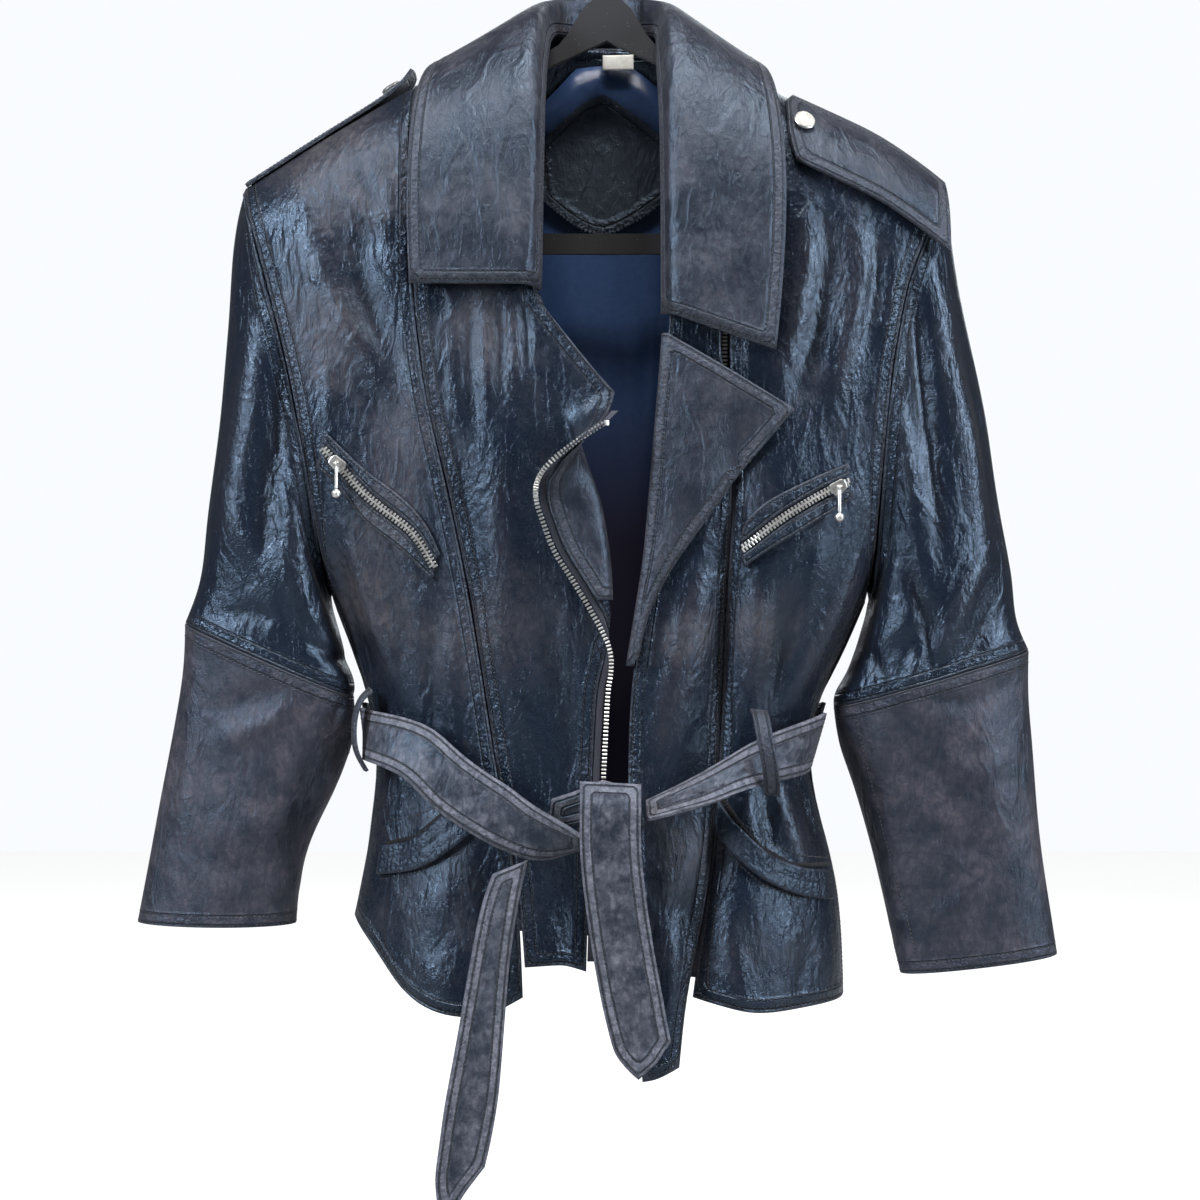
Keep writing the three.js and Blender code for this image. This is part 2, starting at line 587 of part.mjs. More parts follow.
// ---- pockets ------------------------------------------------------------------------------------------
function bandBetween(upper, lower, cols, rows, lift) {
  const a = line2(upper, cols + 1);
  const b = line2(lower, cols + 1);
  return Array.from({ length: rows + 1 }, (_, i) => a.map((_, j) => {
    const x = lerp(a[j][0], b[j][0], i / rows);
    const z = lerp(a[j][1], b[j][1], i / rows);
    return onFront(x, z, lift);
  }));
}
const offsetLine = (points, dz) => points.map(([x, z]) => [x, z + dz]);
const ON_PANEL = LEATHER + 1.5 * CLEAR; // middle of a wall that lies on a panel
const chestPockets = {
  right: {
    top: [[-189, -379], [-175, -393], [-160, -407], [-144, -418], [-123, -438], [-112, -461]],
    zip: [[-192, -389], [-175, -407], [-166, -418], [-152, -430], [-129, -448], [-116, -470]],
    low: [[-196, -402], [-181, -414], [-166, -438], [-152, -448], [-137, -460], [-118, -478]],
    slider: [-181, -400], lean: -42,
  },
  left: {
    top: [[91, -451], [96, -436], [108, -425], [123, -417], [144, -407], [161, -400]],
    zip: [[92, -458], [110, -442], [131, -428], [149, -418], [163, -412]],
    low: [[93, -470], [104, -461], [123, -449], [151, -432], [165, -423]],
    slider: [154, -416], lean: 32,
  },
};
for (const [side, pocket] of Object.entries(chestPockets)) {
  const half = CHAIN_WIDTH / 2;
  add(`chest_welt_upper_${side}`, wall(bandBetween(pocket.top, offsetLine(pocket.zip, half + 1.6),
    8, 1, ON_PANEL), 1.6),
    "leather");
  add(`chest_welt_lower_${side}`, wall(bandBetween(offsetLine(pocket.zip, -half - 1.6),
    pocket.low, 8, 1, ON_PANEL), 1.6),
    "leather");
  add(`chest_zip_${side}`, wall(bandBetween(offsetLine(pocket.zip, half), offsetLine(pocket.zip, -half),
    8, 1, ON_PANEL),
    1.6), "metal");
}
add("hip_welt_right", wall(bandBetween([[-151, -660], [-130, -655], [-109, -637], [-93, -622]],
  [[-154, -680], [-126, -674], [-106, -662], [-87, -645]], 8, 2, ON_PANEL + 1.2), DOUBLE), "leather");
add("hip_welt_left", wall(bandBetween([[76, -627], [89, -646], [103, -661], [123, -672], [148, -678]],
  [[70, -642], [86, -664], [103, -680], [130, -693],
    [148, -697]], 8, 2, ON_PANEL + 1.2), DOUBLE), "leather");

// ---- zip sliders and their ball-ended pulls, which hang plumb from a ring
// ---------------------------------
const wasm = await Module();
wasm.setup();

function toSolid(geometry) {
  const bare = geometry.clone();
  bare.deleteAttribute("normal");
  bare.deleteAttribute("uv");
  const merged = mergeVertices(bare, 1e-4);
  return new wasm.Manifold(new wasm.Mesh({
    numProp: 3,
    vertProperties: new Float32Array(merged.attributes.position.array),
    triVerts: new Uint32Array(merged.index.array),
  }));
}

function union(...geometries) {
  const joined = geometries.map(toSolid).reduce((a, b) => a.add(b));
  const mesh = joined.getMesh();
  const geometry = new THREE.BufferGeometry();
  geometry.setAttribute("position", new THREE.Float32BufferAttribute(mesh.vertProperties, 3));
  geometry.setIndex(Array.from(mesh.triVerts));
  return geometry;
}

const SLIDER_LENGTH = 10;
const BRIDGE_OUT = 6.6; // from the chain's middle to the pin that the ring hangs on
const RING = 2.5;

function sliderGeometry() {
  const outline = new THREE.Shape();
  outline.moveTo(-SLIDER_LENGTH / 2, -2.6);
  outline.quadraticCurveTo(-SLIDER_LENGTH / 2, -4, -SLIDER_LENGTH / 2 + 1.4, -4);
  outline.lineTo(SLIDER_LENGTH / 2 - 1.4, -3.4);
  outline.quadraticCurveTo(SLIDER_LENGTH / 2, -3.2, SLIDER_LENGTH / 2, 0);
  outline.quadraticCurveTo(SLIDER_LENGTH / 2, 3.2, SLIDER_LENGTH / 2 - 1.4, 3.4);
  outline.lineTo(-SLIDER_LENGTH / 2 + 1.4, 4);
  outline.quadraticCurveTo(-SLIDER_LENGTH / 2, 4, -SLIDER_LENGTH / 2, 2.6);
  outline.closePath();
  const plate = new THREE.ExtrudeGeometry(outline, {
    depth: 1.4,
    bevelEnabled: true,
    bevelSize: 0.4,
    bevelThickness: 0.4,
    bevelSegments: 2,
    curveSegments: 5,
  });
  plate.rotateX(Math.PI / 2);
  plate.translate(0, -1.6, 0);
  return plate;
}

// The lug carries a pin along X for the ring to hang on.
function lugGeometry() {
  const pin = new THREE.CylinderGeometry(0.5, 0.5, 5.6, 10);
  pin.rotateZ(Math.PI / 2);
  pin.translate(0, -BRIDGE_OUT, 0);
  const cheeks = [-2.4, 2.4].map((x) => {
    const cheek = new THREE.BoxGeometry(1.2, BRIDGE_OUT - 1.4, 2.2);
    cheek.translate(x, -(BRIDGE_OUT + 3) / 2, 0);
    return cheek;
  });
  return [pin, ...cheeks];
}

function pullGeometry() {
  const ring = new THREE.TorusGeometry(RING - 0.7, 0.6, 8, 18);
  ring.rotateY(Math.PI / 2);
  ring.translate(0, 0, -0.4);
  const profile = [[0, -2.1], [0.9, -2.1], [1.15, -4.5], [1.15, -16.6], [0.95, -17.6]];
  for (let k = 1; k <= 7; k += 1) {
    const a = (k / 7) * 2.75 + 0.3;
    profile.push([3.3 * Math.sin(a), -20.6 + 3.3 * Math.cos(a)]);
  }
  profile.push([0, -23.9]);
  const stem = new THREE.LatheGeometry(profile.reverse().map(([x, y]) => new THREE.Vector2(x, y)), 16);
  stem.rotateX(Math.PI / 2);
  return union(ring, stem);
}

for (const [side, pocket] of Object.entries(chestPockets)) {
  const [x, z] = pocket.slider;
  const seat = onFront(x, z, ON_PANEL + 1.3);
  const tilt = THREE.MathUtils.degToRad(pocket.lean);
  const plate = sliderGeometry();
  plate.rotateY(side === "right" ? -tilt + Math.PI : -tilt);
  const slider = add(`slider_${side}`, union(plate, ...lugGeometry()), "metal");
  slider.position.copy(seat);
  const pull = add(`pull_${side}`, pullGeometry(), "metal");
  pull.position.set(seat.x, seat.y - BRIDGE_OUT, seat.z);
}

// ---- belt and its loops --------------------------------------------------------------------------------
// A flat strap along a route; each stop gives the middle, the direction across and the width.
// The width at a share t of the way along, between the widths of the stops.
function widthAt(stops, t) {
  const place = t * (stops.length - 1);
  const before = Math.min(Math.floor(place), stops.length - 2);
  return lerp(stops[before].width, stops[before + 1].width, place - before);
}
function strap(stops, count, thickness) {
  const middle = new THREE.CatmullRomCurve3(stops.map((s) => new THREE.Vector3(...s.at)),
    false, "centripetal");
  const acrossCurve = new THREE.CatmullRomCurve3(stops.map((s) => new THREE.Vector3(...s.across)),
    false, "centripetal");
  const grid = Array.from({ length: count + 1 }, (_, i) => {
    const t = i / count;
    const p = middle.getPoint(t);
    const w = acrossCurve.getPoint(t).normalize();
    const width = widthAt(stops, t);
    return [-0.5, 0, 0.5].map((u) => p.clone().addScaledVector(w, u * width));
  });
  return wall(grid, thickness);
}
const stop = (at, across, width = BELT_WIDTH) => ({ at, across, width });
add("belt_right", strap([
  stop([-169, -4, -585], [-0.15, 0.05, 1], 36),
  stop([-163, -42, -584], [0.1, 0.2, 1], 34),
  stop([-128, -70, -593], [0.55, 0.2, 1], 38),
  stop([-104, -77, -614], [0.55, 0, 1]),
  stop([-73, -81, -634], [0.45, -0.1, 1]),
  stop([-46, -84, -648], [0.2, -0.35, 1], 36),
  stop([-16, -86, -652], [0, -1, 0.35], 30),
], 18, DOUBLE), "worn");
add("belt_left", strap([
  stop([147, -4, -589], [0.3, 0.05, 1], 38),
  stop([138, -44, -591], [0.25, 0.1, 1]),
  stop([96, -78, -601], [0.3, 0.3, 1], 36),
  stop([74, -82, -612], [0.3, 0.8, 1], 34),
  stop([48, -84, -623], [0.2, 1.2, 0.8], 30),
  stop([26, -86, -631], [0, 1, 0.4], 26),
], 14, DOUBLE), "worn");
const backBelt = [-169, -162, -148, -130, -112, -94, -76, -58, -40, -22, -4, 14, 32, 50, 68, 86, 104, 122,
  134, 142, 147].map((x, i, all) => {
  const middleZ = -584 - 20 * Math.sin((Math.PI * i) / (all.length - 1));
  return [-0.5, 0, 0.5].map((u) => {
    const z = middleZ + u * BELT_WIDTH;
    const edge = i === 0 || i === all.length - 1;
    const out = x + (x < 0 ? -0.12 : 0.3) * u * BELT_WIDTH * smooth((Math.abs(x) - 110) / 30);
    const y = Math.max(backY(x, z), backY(x * 0.9, z) * 0.85, backY(x * 0.8, z) * 0.7) + 6;
    return new THREE.Vector3(out, edge ? 8 : y, z);
  });
});
add("belt_back", wall(backBelt, DOUBLE), "worn");
add("belt_knot", strap([
  stop([-38, -76, -634], [0.1, -0.5, 1], 22),
  stop([-22, -80, -630], [0.2, -0.4, 1], 26),
  stop([-8, -82, -625], [0.3, -0.3, 1], 30),
  stop([6, -84, -626], [0, -0.4, 1], 26),
], 8, DOUBLE), "worn");
add("belt_front_end", strap([
  stop([2, -98, -612], [1, 0, -0.05]),
  stop([2, -104, -625], [1, 0, -0.03]),
  stop([2, -103, -655], [1, 0, 0.02]),
  stop([7, -100, -701], [1, 0, 0.1]),
  stop([16, -98, -753], [1, 0, 0.16]),
  stop([23, -97, -785], [1, 0, 0.2], 38),
  stop([27, -97, -800], [1, 0, 0.9], 18),
], 18, DOUBLE), "worn");
add("belt_long_end", strap([
  stop([-64, -88, -668], [1, 0.5, 0.35], 26),
  stop([-70, -92, -689], [1, 0.4, 0.2], 26),
  stop([-77, -94, -728], [1, 0.5, 0.12], 28),
  stop([-82, -95, -767], [1, 0.4, 0.15], 31),
  stop([-89, -96, -820], [1, 0.3, 0.1], 36),
  stop([-97, -96, -868], [1, 0.1, 0.25], 34),
  stop([-106, -96, -900], [1, 0, 1.2], 12),
], 18, DOUBLE), "worn");

const LOOP_WIDTH = 11;
add("belt_loop_right", strap([
  stop([-161, -36, -553], [-0.3, 1, 0.2], LOOP_WIDTH),
  stop([-168, -41, -560], [-0.3, 1, 0.1], LOOP_WIDTH),
  stop([-172, -43, -575], [-0.3, 1, 0], LOOP_WIDTH),
  stop([-171, -44, -594], [-0.3, 1, 0], LOOP_WIDTH),
  stop([-164, -42, -608], [-0.3, 1, 0], LOOP_WIDTH),
], 10, 2), "leather");
add("belt_loop_left", strap([
  stop([101, -67, -566], [1, 0, -0.1], LOOP_WIDTH),
  stop([102, -79, -570], [1, 0, -0.1], LOOP_WIDTH),
  stop([104, -86, -584], [1, 0, -0.1], LOOP_WIDTH),
  stop([108, -84, -606], [1, 0, -0.1], LOOP_WIDTH),
  stop([110, -72, -622], [1, 0, -0.1], LOOP_WIDTH),
], 10, 2), "leather");
add("belt_loop_back", strap([
  stop([-4, 51, -572], [1, 0, 0], LOOP_WIDTH),
  stop([-4, 58, -578], [1, 0, 0], LOOP_WIDTH),
  stop([-4, 61, -604], [1, 0, 0], LOOP_WIDTH),
  stop([-4, 59, -630], [1, 0, 0], LOOP_WIDTH),
  stop([-4, 54, -637], [1, 0, 0], LOOP_WIDTH),
], 10, 2), "leather");

// ---- inside the neck
// ---------------------------------------------------------------------------------------
const liningGap = LEATHER / 2 + CLEAR + LINING / 2;
function liningGrid() {
  const levels = Array.from({ length: 11 }, (_, k) => k * 1.2);
  return levels.map((k) => Array.from({ length: 11 }, (_, j) => {
    const u = lerp(-0.76, 0.76, j / 10);
    const x0 = u < 0 ? 150 : 128;
    const x = u * x0;
    const z = k === 0 ? shoulderZBack(x) - SHOULDER_ROUND * (1 - Math.cos(Math.max(neckAngle(x), 0.9))) - 12
      : lerp(shoulderZBack(x) - 30, -700, (k + 0.3) / 12.3);
    return onBack(x, z, -liningGap - 2.8);
  }));
}
add("lining_back", wall(liningGrid(), LINING), "lining");

function patchGrid() {
  const upper = [[-50, -168], [-28, -147], [-5, -131], [22, -148], [48, -168]];
  const lower = [[-47, -204], [-30, -219], [-5, -231], [22, -220], [44, -204]];
  const grid = bandBetween(upper, lower, 8, 4, 0);
  return grid.map((row) => row.map((p) => new THREE.Vector3(p.x, backY(p.x, p.z) - liningGap - 9, p.z)));
}
add("label_patch", wall(patchGrid(), 1.4), "patch");
const tagGrid = [0, 1, 2].map((i) => [0, 1, 2].map((j) => {
  const x = lerp(-3, 19, j / 2);
  const z = -103 - 5.5 * i;
  return new THREE.Vector3(x, backY(x, z) - liningGap - 7 - 2 * i, z);
}));
add("size_tag", wall(tagGrid, 0.5), "tag");

// ---- hanger
// ---------------------------------------------------------------------------------------------------
const HANGER_THICK = 6;
function hangerGeometry() {
  const outer = new THREE.Shape();
  outer.moveTo(0, -70);
  outer.bezierCurveTo(24, -70, 20, -103, 44, -110);
  outer.lineTo(138, -157);
  outer.bezierCurveTo(176, -175, 208, -190, 208, -214);
  outer.bezierCurveTo(208, -238, 196, BAR_Z - 7, 180, BAR_Z - 7);
  outer.lineTo(-184, BAR_Z - 7);
  outer.bezierCurveTo(-204, BAR_Z - 7, -214, -236, -214, -210);
  outer.bezierCurveTo(-214, -186, -186, -170, -142, -148);
  outer.lineTo(-44, -110);
  outer.bezierCurveTo(-20, -103, -24, -70, 0, -70);
  const hole = new THREE.Path();
  hole.moveTo(0, -101);
  hole.lineTo(-50, -124);
  hole.lineTo(-140, -163);
  hole.bezierCurveTo(-172, -180, -200, -190, -200, -210);
  hole.bezierCurveTo(-200, -226, -194, BAR_Z + 7, -180, BAR_Z + 7);
  hole.lineTo(176, BAR_Z + 7);
  hole.bezierCurveTo(190, BAR_Z + 7, 194, -226, 194, -212);
  hole.bezierCurveTo(194, -194, 164, -186, 134, -171);
  hole.lineTo(50, -124);
  hole.lineTo(0, -101);
  outer.holes.push(hole);
  const geometry = new THREE.ExtrudeGeometry(outer, { depth: HANGER_THICK, bevelEnabled: false,
    curveSegments: 6 });
  geometry.translate(0, 0, -HANGER_THICK / 2);
  geometry.rotateX(Math.PI / 2);
  return geometry;
}
add("hanger", hangerGeometry(), "velvet");

const HOOK_WIRE = 4;
const HOOK_TURN = 20; // radius of the hook, to the middle of its wire
function hookGeometry() {
  const points = [[0, -69.7], [0, -56], [0, -46]];
  for (let degrees = -60; degrees <= 205; degrees += 26.5) {
    const a = THREE.MathUtils.degToRad(degrees);
    points.push([HOOK_TURN * Math.cos(a), HOOK_WIRE / 2 - HOOK_TURN + HOOK_TURN * Math.sin(a)]);
  }
  const route = new THREE.CatmullRomCurve3(points.map(([x, z]) => new THREE.Vector3(x, 0, z)),
    false, "centripetal");
  const section = new THREE.Shape(Array.from({ length: 10 }, (_, k) => {
    const a = (k / 10) * 2 * Math.PI;
    return new THREE.Vector2((HOOK_WIRE / 2) * Math.cos(a), (HOOK_WIRE / 2) * Math.sin(a));
  }));
  return new THREE.ExtrudeGeometry(section, { steps: 40, extrudePath: route });
}
add("hanger_hook", hookGeometry(), "metal");

export default jacket;
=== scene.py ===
# %% [markdown]
# # A worn leather jacket on a flocked hanger
#
# This lesson dresses a finished CAD model in leather, thread and metal. The CAD model fixes every
# place and size. Here each flat-faced piece of cloth becomes a smooth, creased shell of the same
# cut, and stitches, zip teeth and surface finishes are added. Lengths in the tables are in
# millimetres, because a tailor thinks in them, and are turned into metres where a mesh is made.

import math

import bmesh
import bpy
import numpy as np
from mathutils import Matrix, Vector, noise
from mathutils.bvhtree import BVHTree
from mathutils.kdtree import KDTree


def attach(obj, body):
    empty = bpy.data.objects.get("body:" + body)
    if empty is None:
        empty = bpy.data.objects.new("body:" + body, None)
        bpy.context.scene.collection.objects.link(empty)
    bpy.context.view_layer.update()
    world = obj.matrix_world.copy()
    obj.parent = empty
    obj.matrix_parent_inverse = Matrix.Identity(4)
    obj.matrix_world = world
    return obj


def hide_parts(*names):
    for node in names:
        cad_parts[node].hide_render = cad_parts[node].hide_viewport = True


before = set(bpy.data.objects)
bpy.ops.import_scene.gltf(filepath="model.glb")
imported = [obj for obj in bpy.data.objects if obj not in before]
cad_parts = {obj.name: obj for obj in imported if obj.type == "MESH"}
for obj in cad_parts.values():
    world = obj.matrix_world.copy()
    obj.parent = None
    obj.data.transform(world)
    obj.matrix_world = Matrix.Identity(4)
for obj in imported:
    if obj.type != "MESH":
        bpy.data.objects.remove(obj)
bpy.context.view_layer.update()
MM = 0.001
BODY = "jacket"

# %% [markdown]
# ## Camera, floor and light
#
# The jacket hangs in the air from its hook, so the camera looks at it level, from one and a half
# metres away. A white floor lies well below the hem and the world is nearly white too, which gives
# the even light of a simple product picture. Glossy leather only shows its folds where a bright
# area mirrors in it, so two tall soft boxes stand to the left and right, and a wide one above.

# %% Camera
EYE = (-0.0049, -1.5, -0.492)
camera_data = bpy.data.cameras.new("camera")
camera_data.sensor_width = 36.0
camera_data.lens = 64.29
camera_data.clip_end = 50.0
camera = bpy.data.objects.new("camera", camera_data)
camera.location = EYE
camera.rotation_euler = (math.radians(90), 0, 0)
bpy.context.scene.collection.objects.link(camera)
bpy.context.scene.camera = camera
print("camera at", EYE, "lens", camera_data.lens)


# %% Helpers that start and end a piece of modelling
def deselect_all():
    """Leave object mode with nothing selected."""
    if bpy.context.mode != "OBJECT":
        bpy.ops.object.mode_set(mode="OBJECT")
    bpy.ops.object.select_all(action="DESELECT")


def pick(piece):
    """Select one object alone and make it active."""
    deselect_all()
    piece.select_set(True)
    bpy.context.view_layer.objects.active = piece


def settle(piece):
    """Put the place of a finished piece into its mesh, so that its object sits at the origin."""
    pick(piece)
    bpy.ops.object.transform_apply(location=True, rotation=True, scale=True)


# %% Floor
FLOOR_Z = -1.02
deselect_all()
bpy.ops.mesh.primitive_plane_add(size=6.0, location=(0, 0, FLOOR_Z))
floor = bpy.context.active_object
floor.name = "floor"
settle(floor)
print("floor at", FLOOR_Z)


# %% Soft boxes
def soft_box(name, place, size, watts, tint):
    """A rectangular area light at a place, turned to the middle of the jacket."""
    data = bpy.data.lights.new(name, "AREA")
    data.shape = "RECTANGLE"
    data.size, data.size_y = size
    data.energy = watts
    data.color = tint
    lamp = bpy.data.objects.new(name, data)
    lamp.location = place
    aim = Vector((0, 0, -0.45)) - Vector(place)
    lamp.rotation_euler = aim.to_track_quat("-Z", "Y").to_euler()
    bpy.context.scene.collection.objects.link(lamp)
    return lamp


DAYLIGHT = (0.86, 0.93, 1.0)
soft_box("left_soft_box", (-1.6, -1.3, 0.4), (0.3, 1.3), 66, DAYLIGHT)
soft_box("right_soft_box", (1.8, -0.9, 0.2), (0.3, 1.4), 50, DAYLIGHT)
soft_box("top_soft_box", (0.1, -0.8, 1.2), (1.1, 0.35), 48, (1.0, 0.98, 0.95))
soft_box("back_soft_box", (0.3, 1.8, 0.4), (1.4, 1.4), 16, DAYLIGHT)

# %% World
world = bpy.data.worlds.new("studio")
bpy.context.scene.world = world
world.use_nodes = True
backdrop = world.node_tree.nodes["Background"]
backdrop.inputs["Color"].default_value = (0.95, 0.97, 1.0, 1.0)
ray = world.node_tree.nodes.new("ShaderNodeLightPath")
level = world.node_tree.nodes.new("ShaderNodeMapRange")
level.inputs["To Min"].default_value = 0.06
level.inputs["To Max"].default_value = 1.0
world.node_tree.links.new(ray.outputs["Is Camera Ray"], level.inputs["Value"])
world.node_tree.links.new(level.outputs["Result"], backdrop.inputs["Strength"])
bpy.context.scene.view_settings.view_transform = "Standard"

# %% [markdown]
# ## Finishes
#
# Leather is a story told on several scales: broad patches where the dye has faded, long soft
# creases, a fine net of grain cells, and the line of wear along each edge. Each of these is built
# once as a node group that gives out only a height, a mask or a colour, and each leather then mixes
# them in its own amounts. All of them read object coordinates in millimetres, so the grain keeps its
# real size on every piece and never stretches. Two attributes are painted on the cloth later on:
# edge_mm, the distance to the piece's own edge, and rise_mm, how far a crease lifts the leather.

# %% Node helpers
NODE_WIDTH = 180


def add_node(tree, kind, feeds=None, **settings):
    """Add a shader node, set its options, and fill its inputs with values or links."""
    made = tree.nodes.new(kind)
    made.location = (NODE_WIDTH * len(tree.nodes), -40 * (len(tree.nodes) % 7))
    for option, value in settings.items():
        setattr(made, option, value)
    for socket, value in (feeds or {}).items():
        if isinstance(value, bpy.types.NodeSocket):
            tree.links.new(value, made.inputs[socket])
        else:
            made.inputs[socket].default_value = value
    return made


def math_node(tree, operation, first, second=0.0, clamp=False):
    """One step of arithmetic; returns its result socket."""
    feeds = {0: first, 1: second}
    return add_node(tree, "ShaderNodeMath", feeds, operation=operation, use_clamp=clamp).outputs[0]


def fade(tree, value, start, end, low=0.0, high=1.0):
    """A smooth step from low to high while value runs from start to end."""
    feeds = {"Value": value, "From Min": start, "From Max": end, "To Min": low, "To Max": high}
    made = add_node(tree, "ShaderNodeMapRange", feeds, interpolation_type="SMOOTHSTEP")
    return made.outputs["Result"]


def blend_colour(tree, factor, first, second):
    """Mix two colours by a factor."""
    made = add_node(tree, "ShaderNodeMix", data_type="RGBA")
    for index, value in ((0, factor), (6, first), (7, second)):
        if isinstance(value, bpy.types.NodeSocket):
            tree.links.new(value, made.inputs[index])
        else:
            made.inputs[index].default_value = value
    return made.outputs[2]


def new_group(name, inputs, outputs):
    """An empty node group with named inputs and outputs, and its two end nodes."""
    group = bpy.data.node_groups.new(name, "ShaderNodeTree")
    for label, value in inputs.items():
        socket = group.interface.new_socket(label, in_out="INPUT", socket_type="NodeSocketFloat")
        socket.default_value = value
    for label in outputs:
        group.interface.new_socket(label, in_out="OUTPUT", socket_type="NodeSocketFloat")
    entry = group.nodes.new("NodeGroupInput")
    leave = group.nodes.new("NodeGroupOutput")
    return group, entry.outputs, leave.inputs


def use_group(tree, group, **values):
    """Place a node group in a material; underscores in a value's name stand for spaces."""
    feeds = {label.replace("_", " "): value for label, value in values.items()}
    made = add_node(tree, "ShaderNodeGroup", node_tree=group)
    for label, value in feeds.items():
        made.inputs[label].default_value = value
    return made.outputs


def noise_node(tree, spot, detail, **more):
    """Cloudy noise at a spot; more sets its scale, roughness or distortion."""
    feeds = {"Vector": spot, "Detail": detail}
    feeds.update({label.capitalize(): value for label, value in more.items()})
    return add_node(tree, "ShaderNodeTexNoise", feeds).outputs


def attribute(tree, label):
    """A number painted on the mesh."""
    return add_node(tree, "ShaderNodeAttribute", attribute_name=label).outputs["Fac"]


def bump(tree, height, strength, distance, normal=None):
    """A bump on top of another normal, or on the surface itself."""
    feeds = {"Height": height, "Strength": strength, "Distance": distance}
    if normal is not None:
        feeds["Normal"] = normal
    return add_node(tree, "ShaderNodeBump", feeds).outputs["Normal"]


def place_mm(tree, scale=(1000.0, 1000.0, 1000.0), turn=(0.0, 0.0, 0.0)):
    """Object coordinates in millimetres, with an optional stretch and turn."""
    coords = add_node(tree, "ShaderNodeTexCoord")
    feeds = {"Vector": coords.outputs["Object"], "Scale": scale, "Rotation": turn}
    return add_node(tree, "ShaderNodeMapping", feeds).outputs["Vector"]


# %% Grain: the net of small cells on a tanned hide
def make_grain():
    tree, get, give = new_group("hide grain", {"Cell mm": 1.1}, ["Height"])
    spot = place_mm(tree)
    wobble = noise_node(tree, spot, 2.0, scale=0.35)
    warped = add_node(
        tree,
        "ShaderNodeVectorMath",
        {0: wobble["Color"], 1: (1.6, 1.6, 1.6), 2: spot},
        operation="MULTIPLY_ADD",
    ).outputs[0]
    rate = math_node(tree, "DIVIDE", 1.0, get["Cell mm"])
    cells = add_node(tree, "ShaderNodeTexVoronoi", {"Vector": warped}, feature="DISTANCE_TO_EDGE")
    tree.links.new(rate, cells.inputs["Scale"])
    domes = fade(tree, cells.outputs["Distance"], 0.0, 0.28)
    specks = noise_node(tree, spot, 3.0, scale=1.7)
    fine = math_node(tree, "MULTIPLY", specks["Fac"], 0.5)
    tree.links.new(math_node(tree, "ADD", domes, fine), give["Height"])
    return tree


GRAIN = make_grain()


# %% Creases: long soft wrinkles, drawn out along the hang of the leather
def make_creases():
    tree, get, give = new_group("soft creases", {"Size mm": 14.0}, ["Height", "Crest"])
    rate = math_node(tree, "DIVIDE", 1.0, get["Size mm"])
    spot = place_mm(tree, scale=(1000.0, 1000.0, 430.0), turn=(0.0, 0.32, 0.0))
    long_folds = noise_node(tree, spot, 3.0, scale=rate, roughness=0.5, distortion=0.6)
    ridge = math_node(tree, "ABSOLUTE", math_node(tree, "SUBTRACT", long_folds["Fac"], 0.5))
    crest = fade(tree, ridge, 0.0, 0.12, 1.0, 0.0)
    finer = noise_node(tree, place_mm(tree), 4.0, scale=0.16)
    total = math_node(tree, "MULTIPLY_ADD", finer["Fac"], 0.7)
    tree.links.new(crest, total.node.inputs[2])
    tree.links.new(total, give["Height"])
    tree.links.new(crest, give["Crest"])
    return tree


CREASES = make_creases()


# %% Seam rows: two sunk lines of stitching beside an edge, puckered between, and a rubbed rim
def make_seam_rows():
    labels = {"First mm": 2.0, "Second mm": 8.0, "Pucker": 1.0, "Rim mm": 1.7}
    tree, get, give = new_group("seam rows", labels, ["Height", "Groove", "Rim"])
    edge = attribute(tree, "edge_mm")
    first = math_node(tree, "ABSOLUTE", math_node(tree, "SUBTRACT", edge, get["First mm"]))
    second = math_node(tree, "ABSOLUTE", math_node(tree, "SUBTRACT", edge, get["Second mm"]))
    nearest = math_node(tree, "MINIMUM", first, second)
    groove = fade(tree, nearest, 0.1, 1.0, 1.0, 0.0)
    between = fade(tree, edge, 7.0, 11.0, 1.0, 0.0)
    ripples = noise_node(tree, place_mm(tree), 2.0, scale=0.32)
    rippled = math_node(tree, "MULTIPLY", ripples["Fac"], between)
    pucker = math_node(tree, "MULTIPLY", rippled, get["Pucker"])
    tree.links.new(math_node(tree, "SUBTRACT", pucker, groove), give["Height"])
    tree.links.new(groove, give["Groove"])
    inner = math_node(tree, "MULTIPLY", get["Rim mm"], 1.25)
    rim = fade(tree, edge, 0.2, 1.7, 1.0, 0.0)
    tree.links.new(get["Rim mm"], rim.node.inputs["From Min"])
    tree.links.new(inner, rim.node.inputs["From Max"])
    tree.links.new(rim, give["Rim"])
    return tree


SEAM_ROWS = make_seam_rows()


# %% Wear: broad faded patches with ragged borders
def make_wear():
    labels = {"Size mm": 60.0, "Amount": 0.5}
    tree, get, give = new_group("faded patches", labels, ["Mask", "Mottle"])
    rate = math_node(tree, "DIVIDE", 1.0, get["Size mm"])
    spot = place_mm(tree)
    broad = noise_node(tree, spot, 8.0, scale=rate, roughness=0.74)
    scuff = attribute(tree, "scuff")
    lifted = math_node(tree, "ADD", broad["Fac"], math_node(tree, "MULTIPLY", scuff, 0.35))
    level = math_node(tree, "SUBTRACT", 1.05, math_node(tree, "MULTIPLY", get["Amount"], 0.8))
    over = math_node(tree, "SUBTRACT", lifted, level)
    tree.links.new(fade(tree, over, -0.22, 0.22), give["Mask"])
    small = noise_node(tree, spot, 7.0, scale=0.22, roughness=0.75)
    tree.links.new(small["Fac"], give["Mottle"])
    return tree


WEAR = make_wear()
print("groups:", [g.name for g in bpy.data.node_groups])

